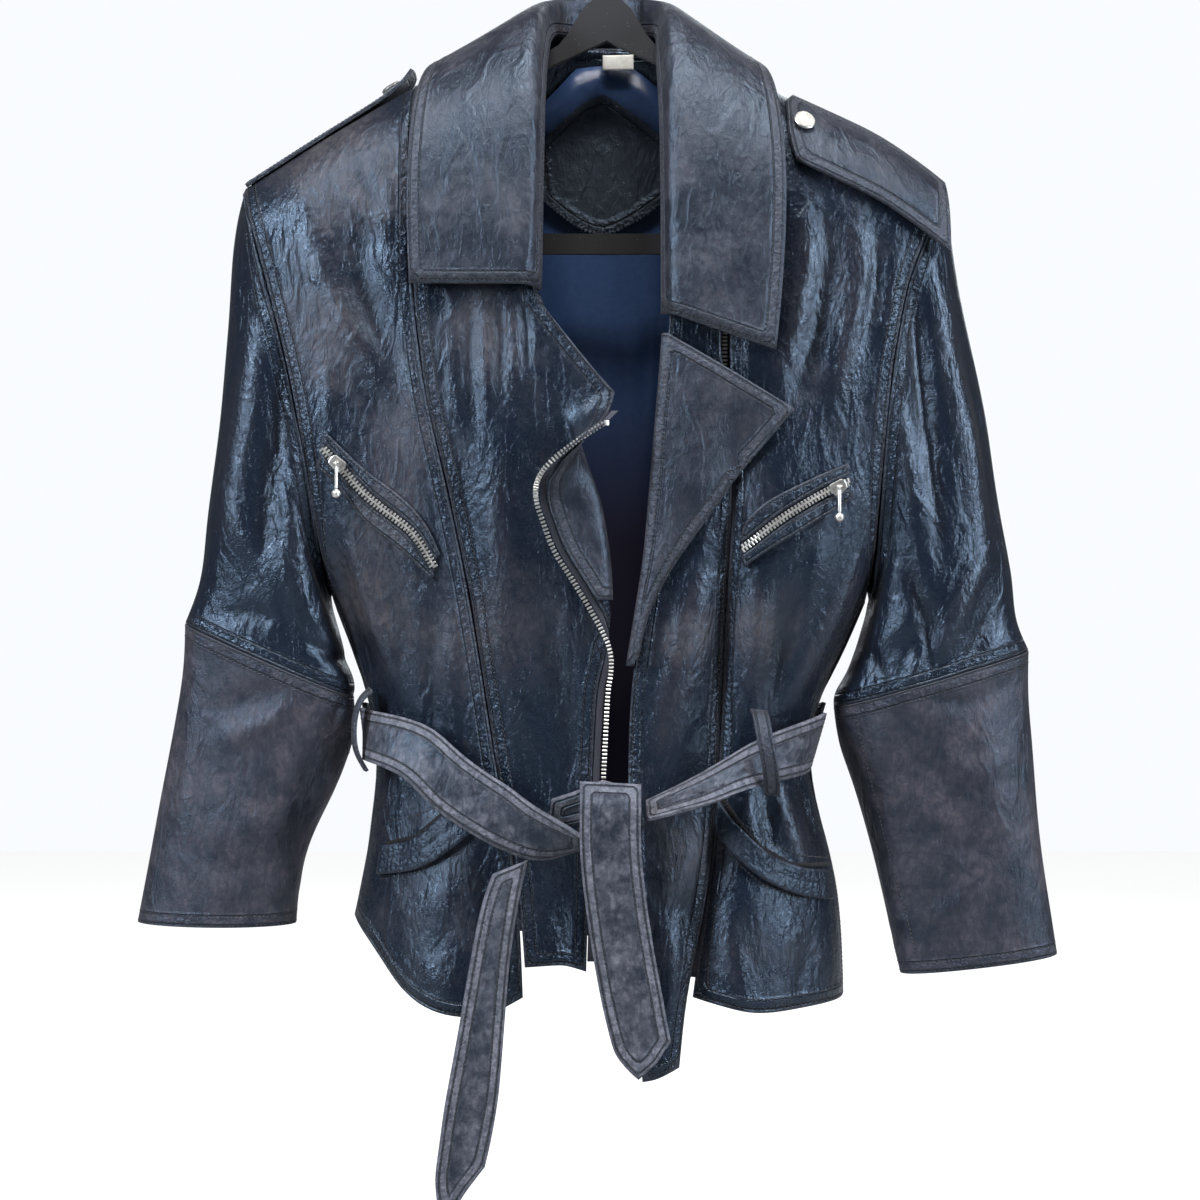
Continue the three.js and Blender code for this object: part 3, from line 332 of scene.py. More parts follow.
# %% [markdown]
# ### The leathers
#
# The hide is dyed a navy so deep that it is nearly black, and its finish mirrors the sky blue, so the
# specular reflection is tinted. Where hands and hangers have rubbed it, the dye is gone and a dry
# mauve brown shows. One maker function builds them all, and the tables say how worn each one is.

# %% Leather maker
def new_material(name, **constants):
    """A material with one Principled shader, whose plain values are set on its own sockets."""
    made = bpy.data.materials.new(name)
    made.use_nodes = True
    shader = made.node_tree.nodes["Principled BSDF"]
    for label, value in constants.items():
        shader.inputs[label.replace("_", " ")].default_value = value
    return made, made.node_tree, shader


def leather(name, dye, faded, amount, gloss, rows=(2.0, 8.0), rim=(0.6, 1.4), patch=60.0):
    """Leather of one dye: faded is the colour it wears to, gloss its roughness when sound, and rim
    how strongly and how far in from an edge it is rubbed."""
    made, tree, shader = new_material(
        name, Specular_Tint=(0.56, 0.75, 1.0, 1.0), IOR=1.52, Sheen_Weight=0.03
    )
    grain = use_group(tree, GRAIN, Cell_mm=1.15)
    crease = use_group(tree, CREASES, Size_mm=26.0)
    wrinkle = use_group(tree, CREASES, Size_mm=8.0)
    first, second = rows
    seam = use_group(
        tree, SEAM_ROWS, First_mm=first, Second_mm=second, Pucker=1.2, Rim_mm=rim[1]
    )
    wear = use_group(tree, WEAR, Size_mm=patch, Amount=amount)
    rise = attribute(tree, "rise_mm")
    crest = math_node(tree, "MULTIPLY", fade(tree, rise, 0.6, 4.0), 0.34)
    rubbed = math_node(tree, "MULTIPLY", seam["Rim"], rim[0])
    both = math_node(tree, "MAXIMUM", wear["Mask"], math_node(tree, "MAXIMUM", crest, rubbed))
    torn = fade(tree, wear["Mottle"], 0.3, 0.62, 0.45, 1.0)
    ragged = math_node(tree, "MULTIPLY", both, torn, clamp=True)
    between = fade(tree, wrinkle["Crest"], 0.0, 1.0, 1.0, 0.62)
    lined = math_node(tree, "MULTIPLY", ragged, between, clamp=True)
    uneven = math_node(tree, "MULTIPLY", wear["Mottle"], 0.5)
    deep = blend_colour(tree, uneven, dye, (0.003, 0.004, 0.007, 1))
    base = blend_colour(tree, lined, deep, faded)
    # Painted shade: the troughs of the creases, by rise_mm, and the sunk stitch grooves are mixed
    # toward near-black.
    trough = fade(tree, rise, -3.0, -0.4, 0.7, 0.0)
    painted_shade = math_node(tree, "MAXIMUM", math_node(tree, "MULTIPLY", seam["Groove"], 0.8), trough)
    colour = blend_colour(tree, painted_shade, base, (0.003, 0.003, 0.005, 1))
    tree.links.new(colour, shader.inputs["Base Color"])
    rough = math_node(tree, "MULTIPLY_ADD", ragged, 0.26)
    rough.node.inputs[2].default_value = gloss
    spread = math_node(tree, "MULTIPLY_ADD", wear["Mottle"], 0.14)
    tree.links.new(rough, spread.node.inputs[2])
    polished = math_node(tree, "SUBTRACT", spread, fade(tree, rise, -0.5, 2.4, 0.0, 0.07))
    tree.links.new(polished, shader.inputs["Roughness"])
    steps = (
        (grain["Height"], 0.40, 0.00018),
        (wrinkle["Height"], 0.28, 0.0005),
        (crease["Height"], 0.34, 0.0015),
        (seam["Height"], 0.9, 0.0012),
    )
    normal = None
    for height, strength, distance in steps:
        normal = bump(tree, height, strength, distance, normal)
    tree.links.new(normal, shader.inputs["Normal"])
    return made


NO_ROW = 99.0
NO_ROWS = (NO_ROW, NO_ROW)
NAVY = (0.004, 0.007, 0.015, 1)
INK = (0.008, 0.009, 0.015, 1)
LEATHERS = {
    "panel": leather("leather_panel", NAVY, (0.044, 0.037, 0.040, 1), 0.46, 0.20, rim=(0.5, 1.4)),
    "welt": leather(
        "leather_welt", NAVY, (0.050, 0.048, 0.058, 1), 0.42, 0.28, NO_ROWS, rim=(0.3, 1.2)
    ),
    "sleeve": leather("leather_sleeve", NAVY, (0.030, 0.030, 0.037, 1), 0.32, 0.18),
    "cuff": leather(
        "leather_cuff", INK, (0.062, 0.050, 0.058, 1), 0.66, 0.34, (1.6, 8.2), patch=30.0
    ),
    "collar": leather(
        "leather_collar", INK, (0.050, 0.045, 0.052, 1), 0.60, 0.30, rim=(0.75, 7.5), patch=34.0
    ),
    "belt": leather(
        "leather_belt", INK, (0.150, 0.145, 0.170, 1), 0.62, 0.33, (2.4, 7.6), (0.9, 7.4), 16.0
    ),
}
print("leathers:", sorted(LEATHERS))


# %% [markdown]
# ### Metal, satin, tape, velvet and paper
#
# The small parts have plainer surfaces, yet none is a flat colour. Nickel carries tiny dents and
# dull stains, satin shows its threads and a soft sheen, zip tape shows its weave, the hanger's
# flock holds lint, and the woven tag is an off-white with threads across it.

# %% Weave: crossing threads as a height
def make_weave():
    tree, get, give = new_group("weave", {"Threads per mm": 2.0}, ["Height"])
    spot = place_mm(tree)
    parts = add_node(tree, "ShaderNodeSeparateXYZ", {"Vector": spot}).outputs
    turns = math_node(tree, "MULTIPLY", get["Threads per mm"], 2 * math.pi)
    round_about = math_node(tree, "ADD", parts["X"], parts["Y"])
    across = math_node(tree, "SINE", math_node(tree, "MULTIPLY", round_about, turns))
    along = math_node(tree, "SINE", math_node(tree, "MULTIPLY", parts["Z"], turns))
    tree.links.new(math_node(tree, "MULTIPLY", across, along), give["Height"])
    return tree


WEAVE = make_weave()


# %% Lint: sparse pale specks
def make_lint():
    tree, get, give = new_group("lint", {"Spacing mm": 9.0}, ["Mask"])
    rate = math_node(tree, "DIVIDE", 1.0, get["Spacing mm"])
    dots = add_node(tree, "ShaderNodeTexVoronoi", {"Vector": place_mm(tree), "Randomness": 1.0})
    tree.links.new(rate, dots.inputs["Scale"])
    tree.links.new(fade(tree, dots.outputs["Distance"], 0.03, 0.07, 1.0, 0.0), give["Mask"])
    return tree


LINT = make_lint()


# %% Cloth-like finishes
SATIN_SHADE_SPAN = (-470.0, -300.0)


def woven(name, colour, threads, roughness, sheen, strength=0.5, below=None):
    """Cloth with visible threads and slow changes of tone; below is the painted shade that it darkens
    to lower down.
    """
    made, tree, shader = new_material(
        name, Roughness=roughness, Sheen_Weight=sheen, Sheen_Roughness=0.35
    )
    shader.inputs["Sheen Tint"].default_value = (0.6, 0.75, 1.0, 1.0)
    wear = use_group(tree, WEAR, Size_mm=50.0, Amount=0.5)
    weave = use_group(tree, WEAVE, Threads_per_mm=threads)
    darker = tuple(0.45 * c for c in colour[:3]) + (1,)
    tone = blend_colour(tree, wear["Mottle"], darker, colour)
    # Painted shade: lower down, inside the jacket, the satin is mixed toward a dark purple by height.
    if below is not None:
        height = add_node(tree, "ShaderNodeSeparateXYZ", {"Vector": place_mm(tree)}).outputs["Z"]
        tone = blend_colour(tree, fade(tree, height, *SATIN_SHADE_SPAN), below, tone)
    tree.links.new(tone, shader.inputs["Base Color"])
    tree.links.new(bump(tree, weave["Height"], strength, 0.0001), shader.inputs["Normal"])
    return made


def make_velvet():
    made, tree, shader = new_material(
        "flocked_velvet", Roughness=0.95, Sheen_Weight=0.10, Sheen_Roughness=0.6
    )
    lint = use_group(tree, LINT, Spacing_mm=3.6)
    nap = noise_node(tree, place_mm(tree), 4.0, scale=1.4)["Fac"]
    black = blend_colour(tree, nap, (0.001, 0.001, 0.002, 1), (0.006, 0.006, 0.009, 1))
    linted = blend_colour(tree, lint["Mask"], black, (0.22, 0.21, 0.20, 1))
    tree.links.new(linted, shader.inputs["Base Color"])
    tree.links.new(bump(tree, nap, 0.6, 0.0003), shader.inputs["Normal"])
    return made


# %% Nickel with stains and dents
def metal(name, bright, dull, roughness):
    made, tree, shader = new_material(name, Metallic=1.0)
    wear = use_group(tree, WEAR, Size_mm=4.0, Amount=0.55)
    tree.links.new(blend_colour(tree, wear["Mask"], bright, dull), shader.inputs["Base Color"])
    rough = math_node(tree, "MULTIPLY_ADD", wear["Mottle"], 0.25)
    rough.node.inputs[2].default_value = roughness
    tree.links.new(rough, shader.inputs["Roughness"])
    dents = noise_node(tree, place_mm(tree), 3.0, scale=0.9)["Fac"]
    tree.links.new(bump(tree, dents, 0.25, 0.0002), shader.inputs["Normal"])
    return made


# %% Thread: waxed, with its twist showing
def make_thread():
    made, tree, shader = new_material("waxed_thread", Roughness=0.55, Sheen_Weight=0.1)
    fibre = noise_node(tree, place_mm(tree), 2.0, scale=2.2)["Fac"]
    tone = blend_colour(tree, fibre, (0.004, 0.004, 0.007, 1), (0.022, 0.024, 0.036, 1))
    tree.links.new(tone, shader.inputs["Base Color"])
    tree.links.new(bump(tree, fibre, 0.4, 0.0001), shader.inputs["Normal"])
    return made


# The dark purple that the lining turns to lower down: painted shade inside the jacket.
LINING_PAINTED_SHADE = (0.013, 0.010, 0.024, 1)
SATIN = woven("lining_satin", (0.036, 0.074, 0.185, 1), 2.6, 0.26, 0.35, 0.2, LINING_PAINTED_SHADE)
TAPE = woven("tape_weave", (0.030, 0.030, 0.045, 1), 1.6, 0.85, 0.1, 0.8)
# Near-black woven finish for the hip pockets' mouths: painted shade.
POCKET_SHADE_PAINT = woven("pocket_shade_paint", (0.005, 0.005, 0.008, 1), 1.8, 0.9, 0.0, 0.5)
TAG = woven("woven_tag", (0.80, 0.78, 0.74, 1), 2.0, 0.8, 0.0, 0.5)
VELVET = make_velvet()
NICKEL = metal("nickel", (0.72, 0.71, 0.68, 1), (0.36, 0.35, 0.34, 1), 0.22)
CHROME = metal("polished_chrome", (0.78, 0.78, 0.78, 1), (0.5, 0.5, 0.5, 1), 0.1)
THREAD = make_thread()
PATCH = leather(
    "leather_label", (0.010, 0.011, 0.016, 1), (0.030, 0.032, 0.042, 1), 0.45, 0.4, (5.2, NO_ROW)
)
print("finishes:", sorted(made.name for made in bpy.data.materials))

# %% [markdown]
# ## From facets to cloth
#
# A garment maker's panel is one smooth sheet, and the CAD panel is that sheet in flat facets with a
# wall round it. Cloth simulation would let the heavy hide slide off the places that CAD fixes, so
# each panel is copied instead, its rims are creased so they keep their line, and a subdivision
# surface rounds everything between. The creases of wear are then pressed in from tables: each is a
# short line with a width and a rise, a ridge if the rise is positive and a trough if not.

# %% Copy one CAD piece as smooth cloth
RIM_ANGLE = math.radians(52)
CORNER_ANGLE = math.radians(24)
SMOOTH_ANGLE = math.radians(48)


def wall_of(work):
    """A shell's wall: the commonest edge length under three millimetres, in metres."""
    lengths = [round(edge.calc_length() / MM, 2) for edge in work.edges]
    thin = [length for length in lengths if length < 3.0]
    return max(sorted(set(thin)), key=thin.count) * MM


def crease_rims(piece):
    """Mark the rims of the shell and its corners as full creases, so subdivision keeps them."""
    work = bmesh.new()
    work.from_mesh(piece.data)
    layer = work.edges.layers.float.new("crease_edge")
    wall = wall_of(work)
    across = {edge for edge in work.edges if abs(edge.calc_length() - wall) < 0.02 * MM}
    rim_faces = {face for face in work.faces if sum(edge in across for edge in face.edges) >= 2}
    for edge in work.edges:
        turn = edge.calc_face_angle(0.0)
        beside = sum(face in rim_faces for face in edge.link_faces)
        corner = turn > CORNER_ANGLE and edge in across and beside == 2
        if corner or (turn > RIM_ANGLE and beside):
            edge[layer] = 1.0
    work.to_mesh(piece.data)
    work.free()


def smooth_copy(node, name, levels=2):
    """A welded, subdivided copy of a CAD node that stands for it."""
    piece = bpy.data.objects.new(name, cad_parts[node].data.copy())
    piece.data.materials.clear()
    bpy.context.scene.collection.objects.link(piece)
    pick(piece)
    bpy.ops.object.mode_set(mode="EDIT")
    bpy.ops.mesh.select_all(action="SELECT")
    bpy.ops.mesh.remove_doubles(threshold=0.01 * MM)
    bpy.ops.mesh.tris_convert_to_quads(
        face_threshold=math.radians(60), shape_threshold=math.radians(70), topology_influence=1.0
    )
    bpy.ops.object.mode_set(mode="OBJECT")
    crease_rims(piece)
    rounding = piece.modifiers.new("rounding", "SUBSURF")
    rounding.levels = levels
    rounding.render_levels = levels
    bpy.ops.object.modifier_apply(modifier="rounding")
    bpy.ops.object.shade_smooth_by_angle(angle=SMOOTH_ANGLE)
    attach(piece, BODY)
    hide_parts(node)
    return piece


# %% Read, move and paint the points of a mesh
def points_of(piece):
    """The piece's points in millimetres, one row each."""
    flat = np.empty(3 * len(piece.data.vertices))
    piece.data.vertices.foreach_get("co", flat)
    return flat.reshape(-1, 3) / MM


def set_points(piece, points):
    piece.data.vertices.foreach_set("co", (points * MM).ravel())
    piece.data.update()


def paint(piece, label, values):
    """Store one number per point, for the shaders to read."""
    layer = piece.data.attributes.get(label) or piece.data.attributes.new(label, "FLOAT", "POINT")
    layer.data.foreach_set("value", np.asarray(values, dtype=np.float32))


def smooth_step(values, start, end):
    t = np.clip((values - start) / (end - start), 0.0, 1.0)
    return t * t * (3 - 2 * t)


# %% Which way is out
TORSO_WIDE, TORSO_DEEP = 225.0, 62.0


def unit(rows):
    return rows / np.maximum(np.linalg.norm(rows, axis=1, keepdims=True), 1e-9)


def out_of_torso(points):
    """Away from the middle of the trunk, taken as an upright ellipse."""
    away = points / np.array([TORSO_WIDE**2, TORSO_DEEP**2, 1.0])
    away[:, 2] = 0
    return unit(away)


def out_of_front(points):
    """Straight out of the chest, for what lies flat on it."""
    return np.tile([0.0, -1.0, 0.0], (len(points), 1))


def out_of_arm(shoulder, wrist):
    """Away from the line down the middle of a sleeve."""
    start, line = np.array(shoulder), np.array(wrist) - np.array(shoulder)

    def away(points):
        along = ((points - start) @ line / (line @ line))[:, None]
        return unit(points - (start + along * line))

    return away


ARM_OUT = {
    "right": out_of_arm((-215.0, 0.0, -330.0), (-262.0, -8.0, -720.0)),
    "left": out_of_arm((205.0, 0.0, -330.0), (262.0, -8.0, -740.0)),
}


# %% Ridges and troughs
def along_line(flat_points, line):
    """Distance of each point to a bent line, and how far along the line that is, from 0 to 1."""
    line = np.array(line, dtype=float)
    spans = np.linalg.norm(np.diff(line, axis=0), axis=1)
    total, passed = spans.sum(), 0.0
    best = np.full(len(flat_points), np.inf)
    share = np.zeros(len(flat_points))
    for start, end, span in zip(line[:-1], line[1:], spans):
        step = end - start
        raw = (flat_points - start) @ step / (span * span)
        t = np.clip(raw, 0.0, 1.0)
        gap = np.linalg.norm(flat_points - (start + t[:, None] * step), axis=1)
        closer = gap < best
        best = np.where(closer, gap, best)
        share = np.where(closer, (passed + t * span) / total, share)
        passed += span
    return best, share


def relief(flat_points, folds):
    """The height of all folds together: each is (line, width, rise) in millimetres."""
    height = np.zeros(len(flat_points))
    for line, width, rise in folds:
        gap, share = along_line(flat_points, line)
        ends = np.sin(np.pi * np.clip(share, 0.04, 0.96)) ** 0.6
        height += rise * ends * np.exp(-((gap / width) ** 2))
    return height


def ripple(points, size, rise):
    """Slow uneven waves of one size, drawn out up and down."""
    squeeze = np.array([1.0, 1.0, 0.45]) / size
    return np.array([rise * noise.noise(Vector(p)) for p in points * squeeze])


# %% Keep ridges clear of what lies on top
COVERS = (
    "collar", "lapel_left", "belt_right", "belt_left", "belt_front_end", "belt_knot",
    "belt_long_end", "belt_back", "epaulette_right", "epaulette_left", "belt_loop_right",
    "belt_loop_left", "belt_loop_back", "slider_right", "slider_left", "hanger",
)


def cover_tree(names, spacing=6.0):
    """A search tree of points spread over these CAD nodes."""
    spots = []
    for name in names:
        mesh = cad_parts[name].data
        for face in mesh.polygons:
            corners = [mesh.vertices[i].co / MM for i in face.vertices]
            longest = max((a - b).length for a, b in zip(corners, corners[1:] + corners[:1]))
            steps = max(1, int(longest / spacing))
            for i in range(steps + 1):
                for j in range(steps + 1 - i):
                    u, v = i / steps, j / steps
                    first, second, third = corners
                    spots.append(first + u * (second - first) + v * (third - first))
    tree = KDTree(len(spots))
    for index, spot in enumerate(spots):
        tree.insert(spot, index)
    tree.balance()
    return tree


COVER_TREE = cover_tree(COVERS)
print("covering pieces:", len(COVERS))


FOLD_DEPTH = 1.3
SLOW_WAVES = (42.0, 0.9)


def fold_heights(points, out, folds, back_folds=None, waves=SLOW_WAVES):
    """How far the folds lift each point, less under whatever lies on top of it."""
    flat = points[:, [0, 2]]
    height = relief(flat, folds)
    if back_folds is not None:
        turned = np.clip(0.5 + out[:, 1], 0.0, 1.0)
        height = height * (1 - turned) + relief(flat, back_folds) * turned
    height = FOLD_DEPTH * height + ripple(points, *waves)
    gap = np.array([COVER_TREE.find(p)[2] for p in points])
    held = smooth_step(gap, 4.0, 24.0)
    return np.where(height > 0, height * held, height * (0.35 + 0.65 * held))


def press_folds(piece, folds, outward, back_folds, waves):
    """Move a piece's points out by the folds, and paint how far each one rose."""
    points = points_of(piece)
    out = outward(points)
    height = fold_heights(points, out, folds, back_folds, waves)
    set_points(piece, points + out * height[:, None])
    paint(piece, "rise_mm", height)


# %% Distance to the edge, for seams and wear
def sides_of(work, rims):
    """Number the sides of a shell: faces that can be reached without crossing a rim share one."""
    side = [-1] * len(work.faces)
    count = 0
    for first in work.faces:
        if side[first.index] >= 0:
            continue
        side[first.index] = count
        waiting = [first]
        while waiting:
            face = waiting.pop()
            for edge in face.edges:
                if edge[rims] > 0.5:
                    continue
                for other in edge.link_faces:
                    if side[other.index] < 0:
                        side[other.index] = count
                        waiting.append(other)
        count += 1
    return side


def paint_edges(piece, spacing=1.0):
    """Paint edge_mm: how far each point is from the nearest rim that its own side shares, among
    the rims whose side faces its way."""
    work = bmesh.new()
    work.from_mesh(piece.data)
    work.normal_update()
    work.faces.ensure_lookup_table()
    rims = work.edges.layers.float["crease_edge"]
    side = sides_of(work, rims)
    spots = {}
    for edge in work.edges:
        if edge[rims] <= 0.5:
            continue
        first, last = (v.co / MM for v in edge.verts)
        steps = max(1, int((last - first).length / spacing))
        for face in edge.link_faces:
            row = spots.setdefault((side[face.index], face.normal.y < 0), [])
            row += [first.lerp(last, i / steps) for i in range(steps + 1)]
    trees = {}
    for key, row in spots.items():
        trees[key] = KDTree(len(row))
        for index, spot in enumerate(row):
            trees[key].insert(spot, index)
        trees[key].balance()
    reach = []
    for vertex in work.verts:
        face = vertex.link_faces[0]
        key = (side[face.index], face.normal.y < 0)
        other = (key[0], not key[1])
        tree = trees.get(key) or trees.get(other)
        reach.append(tree.find(vertex.co / MM)[2] if tree else 50.0)
    paint(piece, "edge_mm", reach)
    work.free()


def paint_scuffs(piece, scuffs):
    """Paint scuff: worn places, each (x, z, reach, strength)."""
    points = points_of(piece)
    total = np.zeros(len(points))
    for x, z, reach, strength in scuffs:
        gap = np.hypot(points[:, 0] - x, points[:, 2] - z)
        total += strength * np.exp(-((gap / reach) ** 2))
    paint(piece, "scuff", total)


# %% [markdown]
# ### Where the leather has creased
#
# A worn jacket creases where it is pulled: down from the shoulders, out from the tied waist, across
# the elbow and under the collar. One table serves every piece of the front, so a crease runs on
# across a seam, and the pockets that lie on the panels move with them. Each line is given as
# (x, z) places seen from the front, then its width and its rise.

# %% Creases of the front
FRONT_FOLDS = (
    (((-206, -227), (-191, -271), (-171, -318), (-144, -358)), 10, 3),
    (((-176, -244), (-158, -298), (-138, -345)), 9, -2.5),
    (((-144, -190), (-149, -237), (-139, -291)), 8, 1.8),
    (((-172, -197), (-158, -224), (-142, -232)), 4, -2.2),
    (((-176, -214), (-160, -234), (-142, -243)), 4, 2),
    (((-172, -227), (-158, -248), (-139, -253)), 4, -2.2),
    (((-186, -251), (-171, -271), (-152, -284)), 5, 1.6),
    (((-191, -324), (-186, -358), (-191, -385)), 5, 1.6),
    (((-176, -324), (-158, -358), (-136, -385)), 6, -1.8),
    (((-136, -311), (-131, -358), (-126, -405)), 6, 1.4),
    (((-199, -425), (-186, -485), (-171, -532)), 8, 2.8),
    (((-186, -455), (-172, -512), (-152, -552)), 7, -3.2),
    (((-174, -455), (-162, -499), (-140, -552)), 8, 3.8),
    (((-149, -472), (-140, -519), (-122, -566)), 10, -2),
    (((-122, -485), (-131, -532), (-126, -579)), 6, 1.8),
    (((-111, -485), (-120, -532), (-116, -586)), 5, -1.8),
    (((-100, -492), (-108, -552), (-101, -606)), 5, 1.4),
    (((-140, -603), (-150, -626), (-158, -660)), 8, 2.4),
    (((-124, -626), (-138, -653), (-144, -673)), 6, -1.8),
    (((-136, -701), (-106, -690), (-84, -674)), 7, 1.6),
    (((-126, -726), (-111, -713), (-91, -710)), 5, -1.4),
    (((-140, -750), (-119, -743), (-97, -750)), 5, 1.6),
    (((-162, -713), (-150, -745), (-123, -763)), 8, -2.2),
    (((-102, -286), (-104, -331), (-100, -378)), 4, 1.6),
    (((-92, -286), (-93, -338), (-89, -385)), 4, -1.9),
    (((-81, -286), (-81, -324), (-79, -371)), 4, 1.9),
    (((-72, -288), (-71, -324), (-72, -365)), 3.5, -2),
    (((-64, -288), (-62, -321), (-64, -358)), 3.5, 2.2),
    (((-57, -290), (-54, -311), (-55, -338)), 3.5, -2.2),
    (((-106, -378), (-92, -438), (-79, -519)), 9, -1.6),
    (((-72, -385), (-76, -452), (-59, -532)), 13, 2.2),
    (((-45, -492), (-30, -559), (-22, -626)), 11, -1.8),
    (((-89, -465), (-72, -532), (-53, -599)), 9, 1.8),
    (((129, -211), (133, -258), (124, -311), (104, -371)), 10, 3.4),
    (((145, -217), (150, -264), (140, -318), (118, -371)), 9, -3.2),
    (((162, -224), (171, -271), (162, -318), (153, -365)), 9, 3.2),
    (((179, -234), (183, -271), (176, -318)), 7, -2.6),
    (((194, -241), (191, -278), (185, -324)), 6, 2.2),
    (((100, -475), (100, -519), (96, -562)), 9, 4.4),
    (((117, -472), (114, -519), (106, -562)), 6, -2.4),
    (((133, -472), (122, -519), (113, -562)), 6, -2.4),
    (((175, -465), (152, -512), (126, -559)), 9, 4.6),
    (((185, -485), (167, -526), (141, -564)), 6, -3.2),
    (((191, -472), (180, -512), (158, -546)), 7, 2.6),
    (((144, -455), (137, -485), (129, -519)), 6, 1.8),
    (((62, -465), (54, -519), (32, -606)), 14, 4.5),
    (((81, -452), (77, -526), (71, -606)), 7, -4.5),
    (((22, -559), (19, -586), (15, -613)), 6, -1.6),
    (((32, -649), (50, -661), (66, -657)), 4, 2),
    (((28, -672), (45, -682), (58, -674)), 4.5, 2.4),
    (((31, -692), (49, -696), (57, -717)), 4.5, -2.2),
    (((35, -713), (47, -735), (43, -764)), 6, 2.8),
    (((62, -660), (55, -713), (50, -780)), 7, -2.8),
    (((27, -750), (33, -773), (30, -800)), 5, -1.6),
    (((114, -606), (122, -639), (140, -680)), 7, 3.8),
    (((106, -616), (109, -653), (120, -682)), 5, -2.6),
    (((126, -606), (138, -639), (150, -677)), 5, -3.2),
    (((92, -619), (97, -646), (110, -668)), 6, 2.2),
    (((73, -693), (83, -733), (90, -764)), 9, 2.4),
    (((116, -713), (132, -731), (150, -732)), 7, 1.2),
    (((152, -713), (137, -726), (130, -755)), 6, -1.6),
    (((90, -713), (102, -740), (106, -763)), 8, -1.4),
)
print("creases of the front:", len(FRONT_FOLDS))

# %% Creases of the sleeves
SLEEVE_RIGHT_FOLDS = (
    (((-231, -234), (-235, -304), (-249, -385), (-264, -472)), 12, 3.4),
    (((-207, -258), (-216, -345), (-231, -425), (-238, -499)), 11, -3),
    (((-194, -331), (-210, -405), (-215, -465), (-205, -526)), 10, 2.6),
    (((-182, -371), (-190, -438), (-181, -505), (-170, -549)), 7, -3),
    (((-252, -438), (-234, -472), (-227, -509)), 8, 1.8),
    (((-206, -519), (-186, -532), (-164, -540)), 4, -1.8),
    (((-194, -492), (-178, -512), (-159, -526)), 5, 2),
    (((-270, -505), (-246, -500), (-219, -507)), 5, -1.2),
    (((-270, -589), (-240, -580), (-203, -559)), 8, 2.4),
    (((-273, -570), (-243, -559), (-216, -551)), 7, -1.6),
    (((-260, -657), (-226, -641), (-186, -619)), 12, 1.8),
    (((-286, -660), (-253, -674), (-213, -661)), 11, -1.4),
    (((-213, -579), (-205, -619), (-218, -666)), 9, -2.2),
    (((-281, -519), (-285, -599), (-294, -686)), 8, 1.8),
    (((-240, -680), (-231, -693), (-206, -686)), 6, 1),
)
SLEEVE_LEFT_FOLDS = (
    (((205, -258), (211, -324), (221, -405), (228, -465)), 7, -4.2),
    (((221, -261), (231, -324), (247, -392), (258, -465)), 11, 4.6),
    (((242, -311), (258, -378), (271, -465)), 8, -2.4),
    (((198, -311), (200, -371), (207, -438)), 6, 3.4),
    (((219, -539), (238, -499), (255, -465)), 8, 3.6),
    (((201, -465), (216, -505), (224, -554)), 6, -3.4),
    (((215, -519), (207, -546), (196, -562)), 5, 2.4),
    (((268, -492), (252, -526), (238, -554)), 7, -2.2),
    (((176, -519), (186, -546), (183, -564)), 5, -2),
    (((166, -586), (171, -626), (188, -680), (199, -723)), 7, -3.4),
    (((184, -579), (193, -626), (201, -673)), 7, 2.2),
    (((256, -680), (238, -705), (220, -713)), 8, 1.8),
    (((256, -559), (264, -613), (278, -680)), 13, 1.8),
    (((209, -560), (246, -562), (280, -548)), 6, -1.6),
    (((223, -599), (250, -610), (276, -599)), 7, 1.2),
    (((216, -646), (240, -660), (270, -654)), 8, -1.2),
)
print("creases of the sleeves:", len(SLEEVE_RIGHT_FOLDS), len(SLEEVE_LEFT_FOLDS))

# %% Creases of the back, of the sleeves' backs and of the lining
BACK_FOLDS = (
    (((-205, -180), (-188, -260), (-176, -350)), 11, 3.2),
    (((-176, -170), (-160, -250), (-150, -330)), 9, -2.6),
    (((188, -180), (172, -260), (160, -350)), 11, 3.2),
    (((160, -175), (146, -250), (138, -330)), 9, -2.6),
    (((-70, -150), (-52, -240), (-48, -330)), 12, 1.6),
    (((60, -150), (46, -240), (42, -330)), 12, 1.6),
    (((-200, -430), (-168, -500), (-140, -560)), 9, 4.0),
    (((-176, -420), (-150, -490), (-118, -560)), 8, -3.4),
    (((-120, -440), (-108, -510), (-92, -575)), 8, 3.4),
    (((-84, -430), (-76, -510), (-66, -575)), 7, -2.8),
    (((-40, -440), (-34, -510), (-30, -575)), 8, 3.0),
    (((-4, -450), (-8, -520), (-6, -575)), 7, -2.6),
    (((36, -440), (30, -510), (26, -575)), 8, 3.2),
    (((76, -430), (68, -510), (58, -575)), 7, -2.8),
    (((112, -440), (100, -510), (86, -575)), 8, 3.4),
    (((164, -420), (140, -490), (112, -560)), 8, -3.4),
    (((186, -430), (158, -500), (132, -560)), 9, 4.0),
    (((-130, -615), (-142, -670), (-150, -730)), 9, 3.2),
    (((-98, -620), (-104, -680), (-108, -740)), 8, -2.4),
    (((-58, -625), (-62, -690), (-60, -745)), 9, 2.8),
    (((-14, -630), (-16, -690), (-12, -740)), 8, -2.2),
    (((34, -625), (38, -690), (36, -745)), 9, 2.8),
    (((78, -620), (86, -680), (92, -740)), 8, -2.4),
    (((112, -615), (124, -670), (134, -730)), 9, 3.2),
)
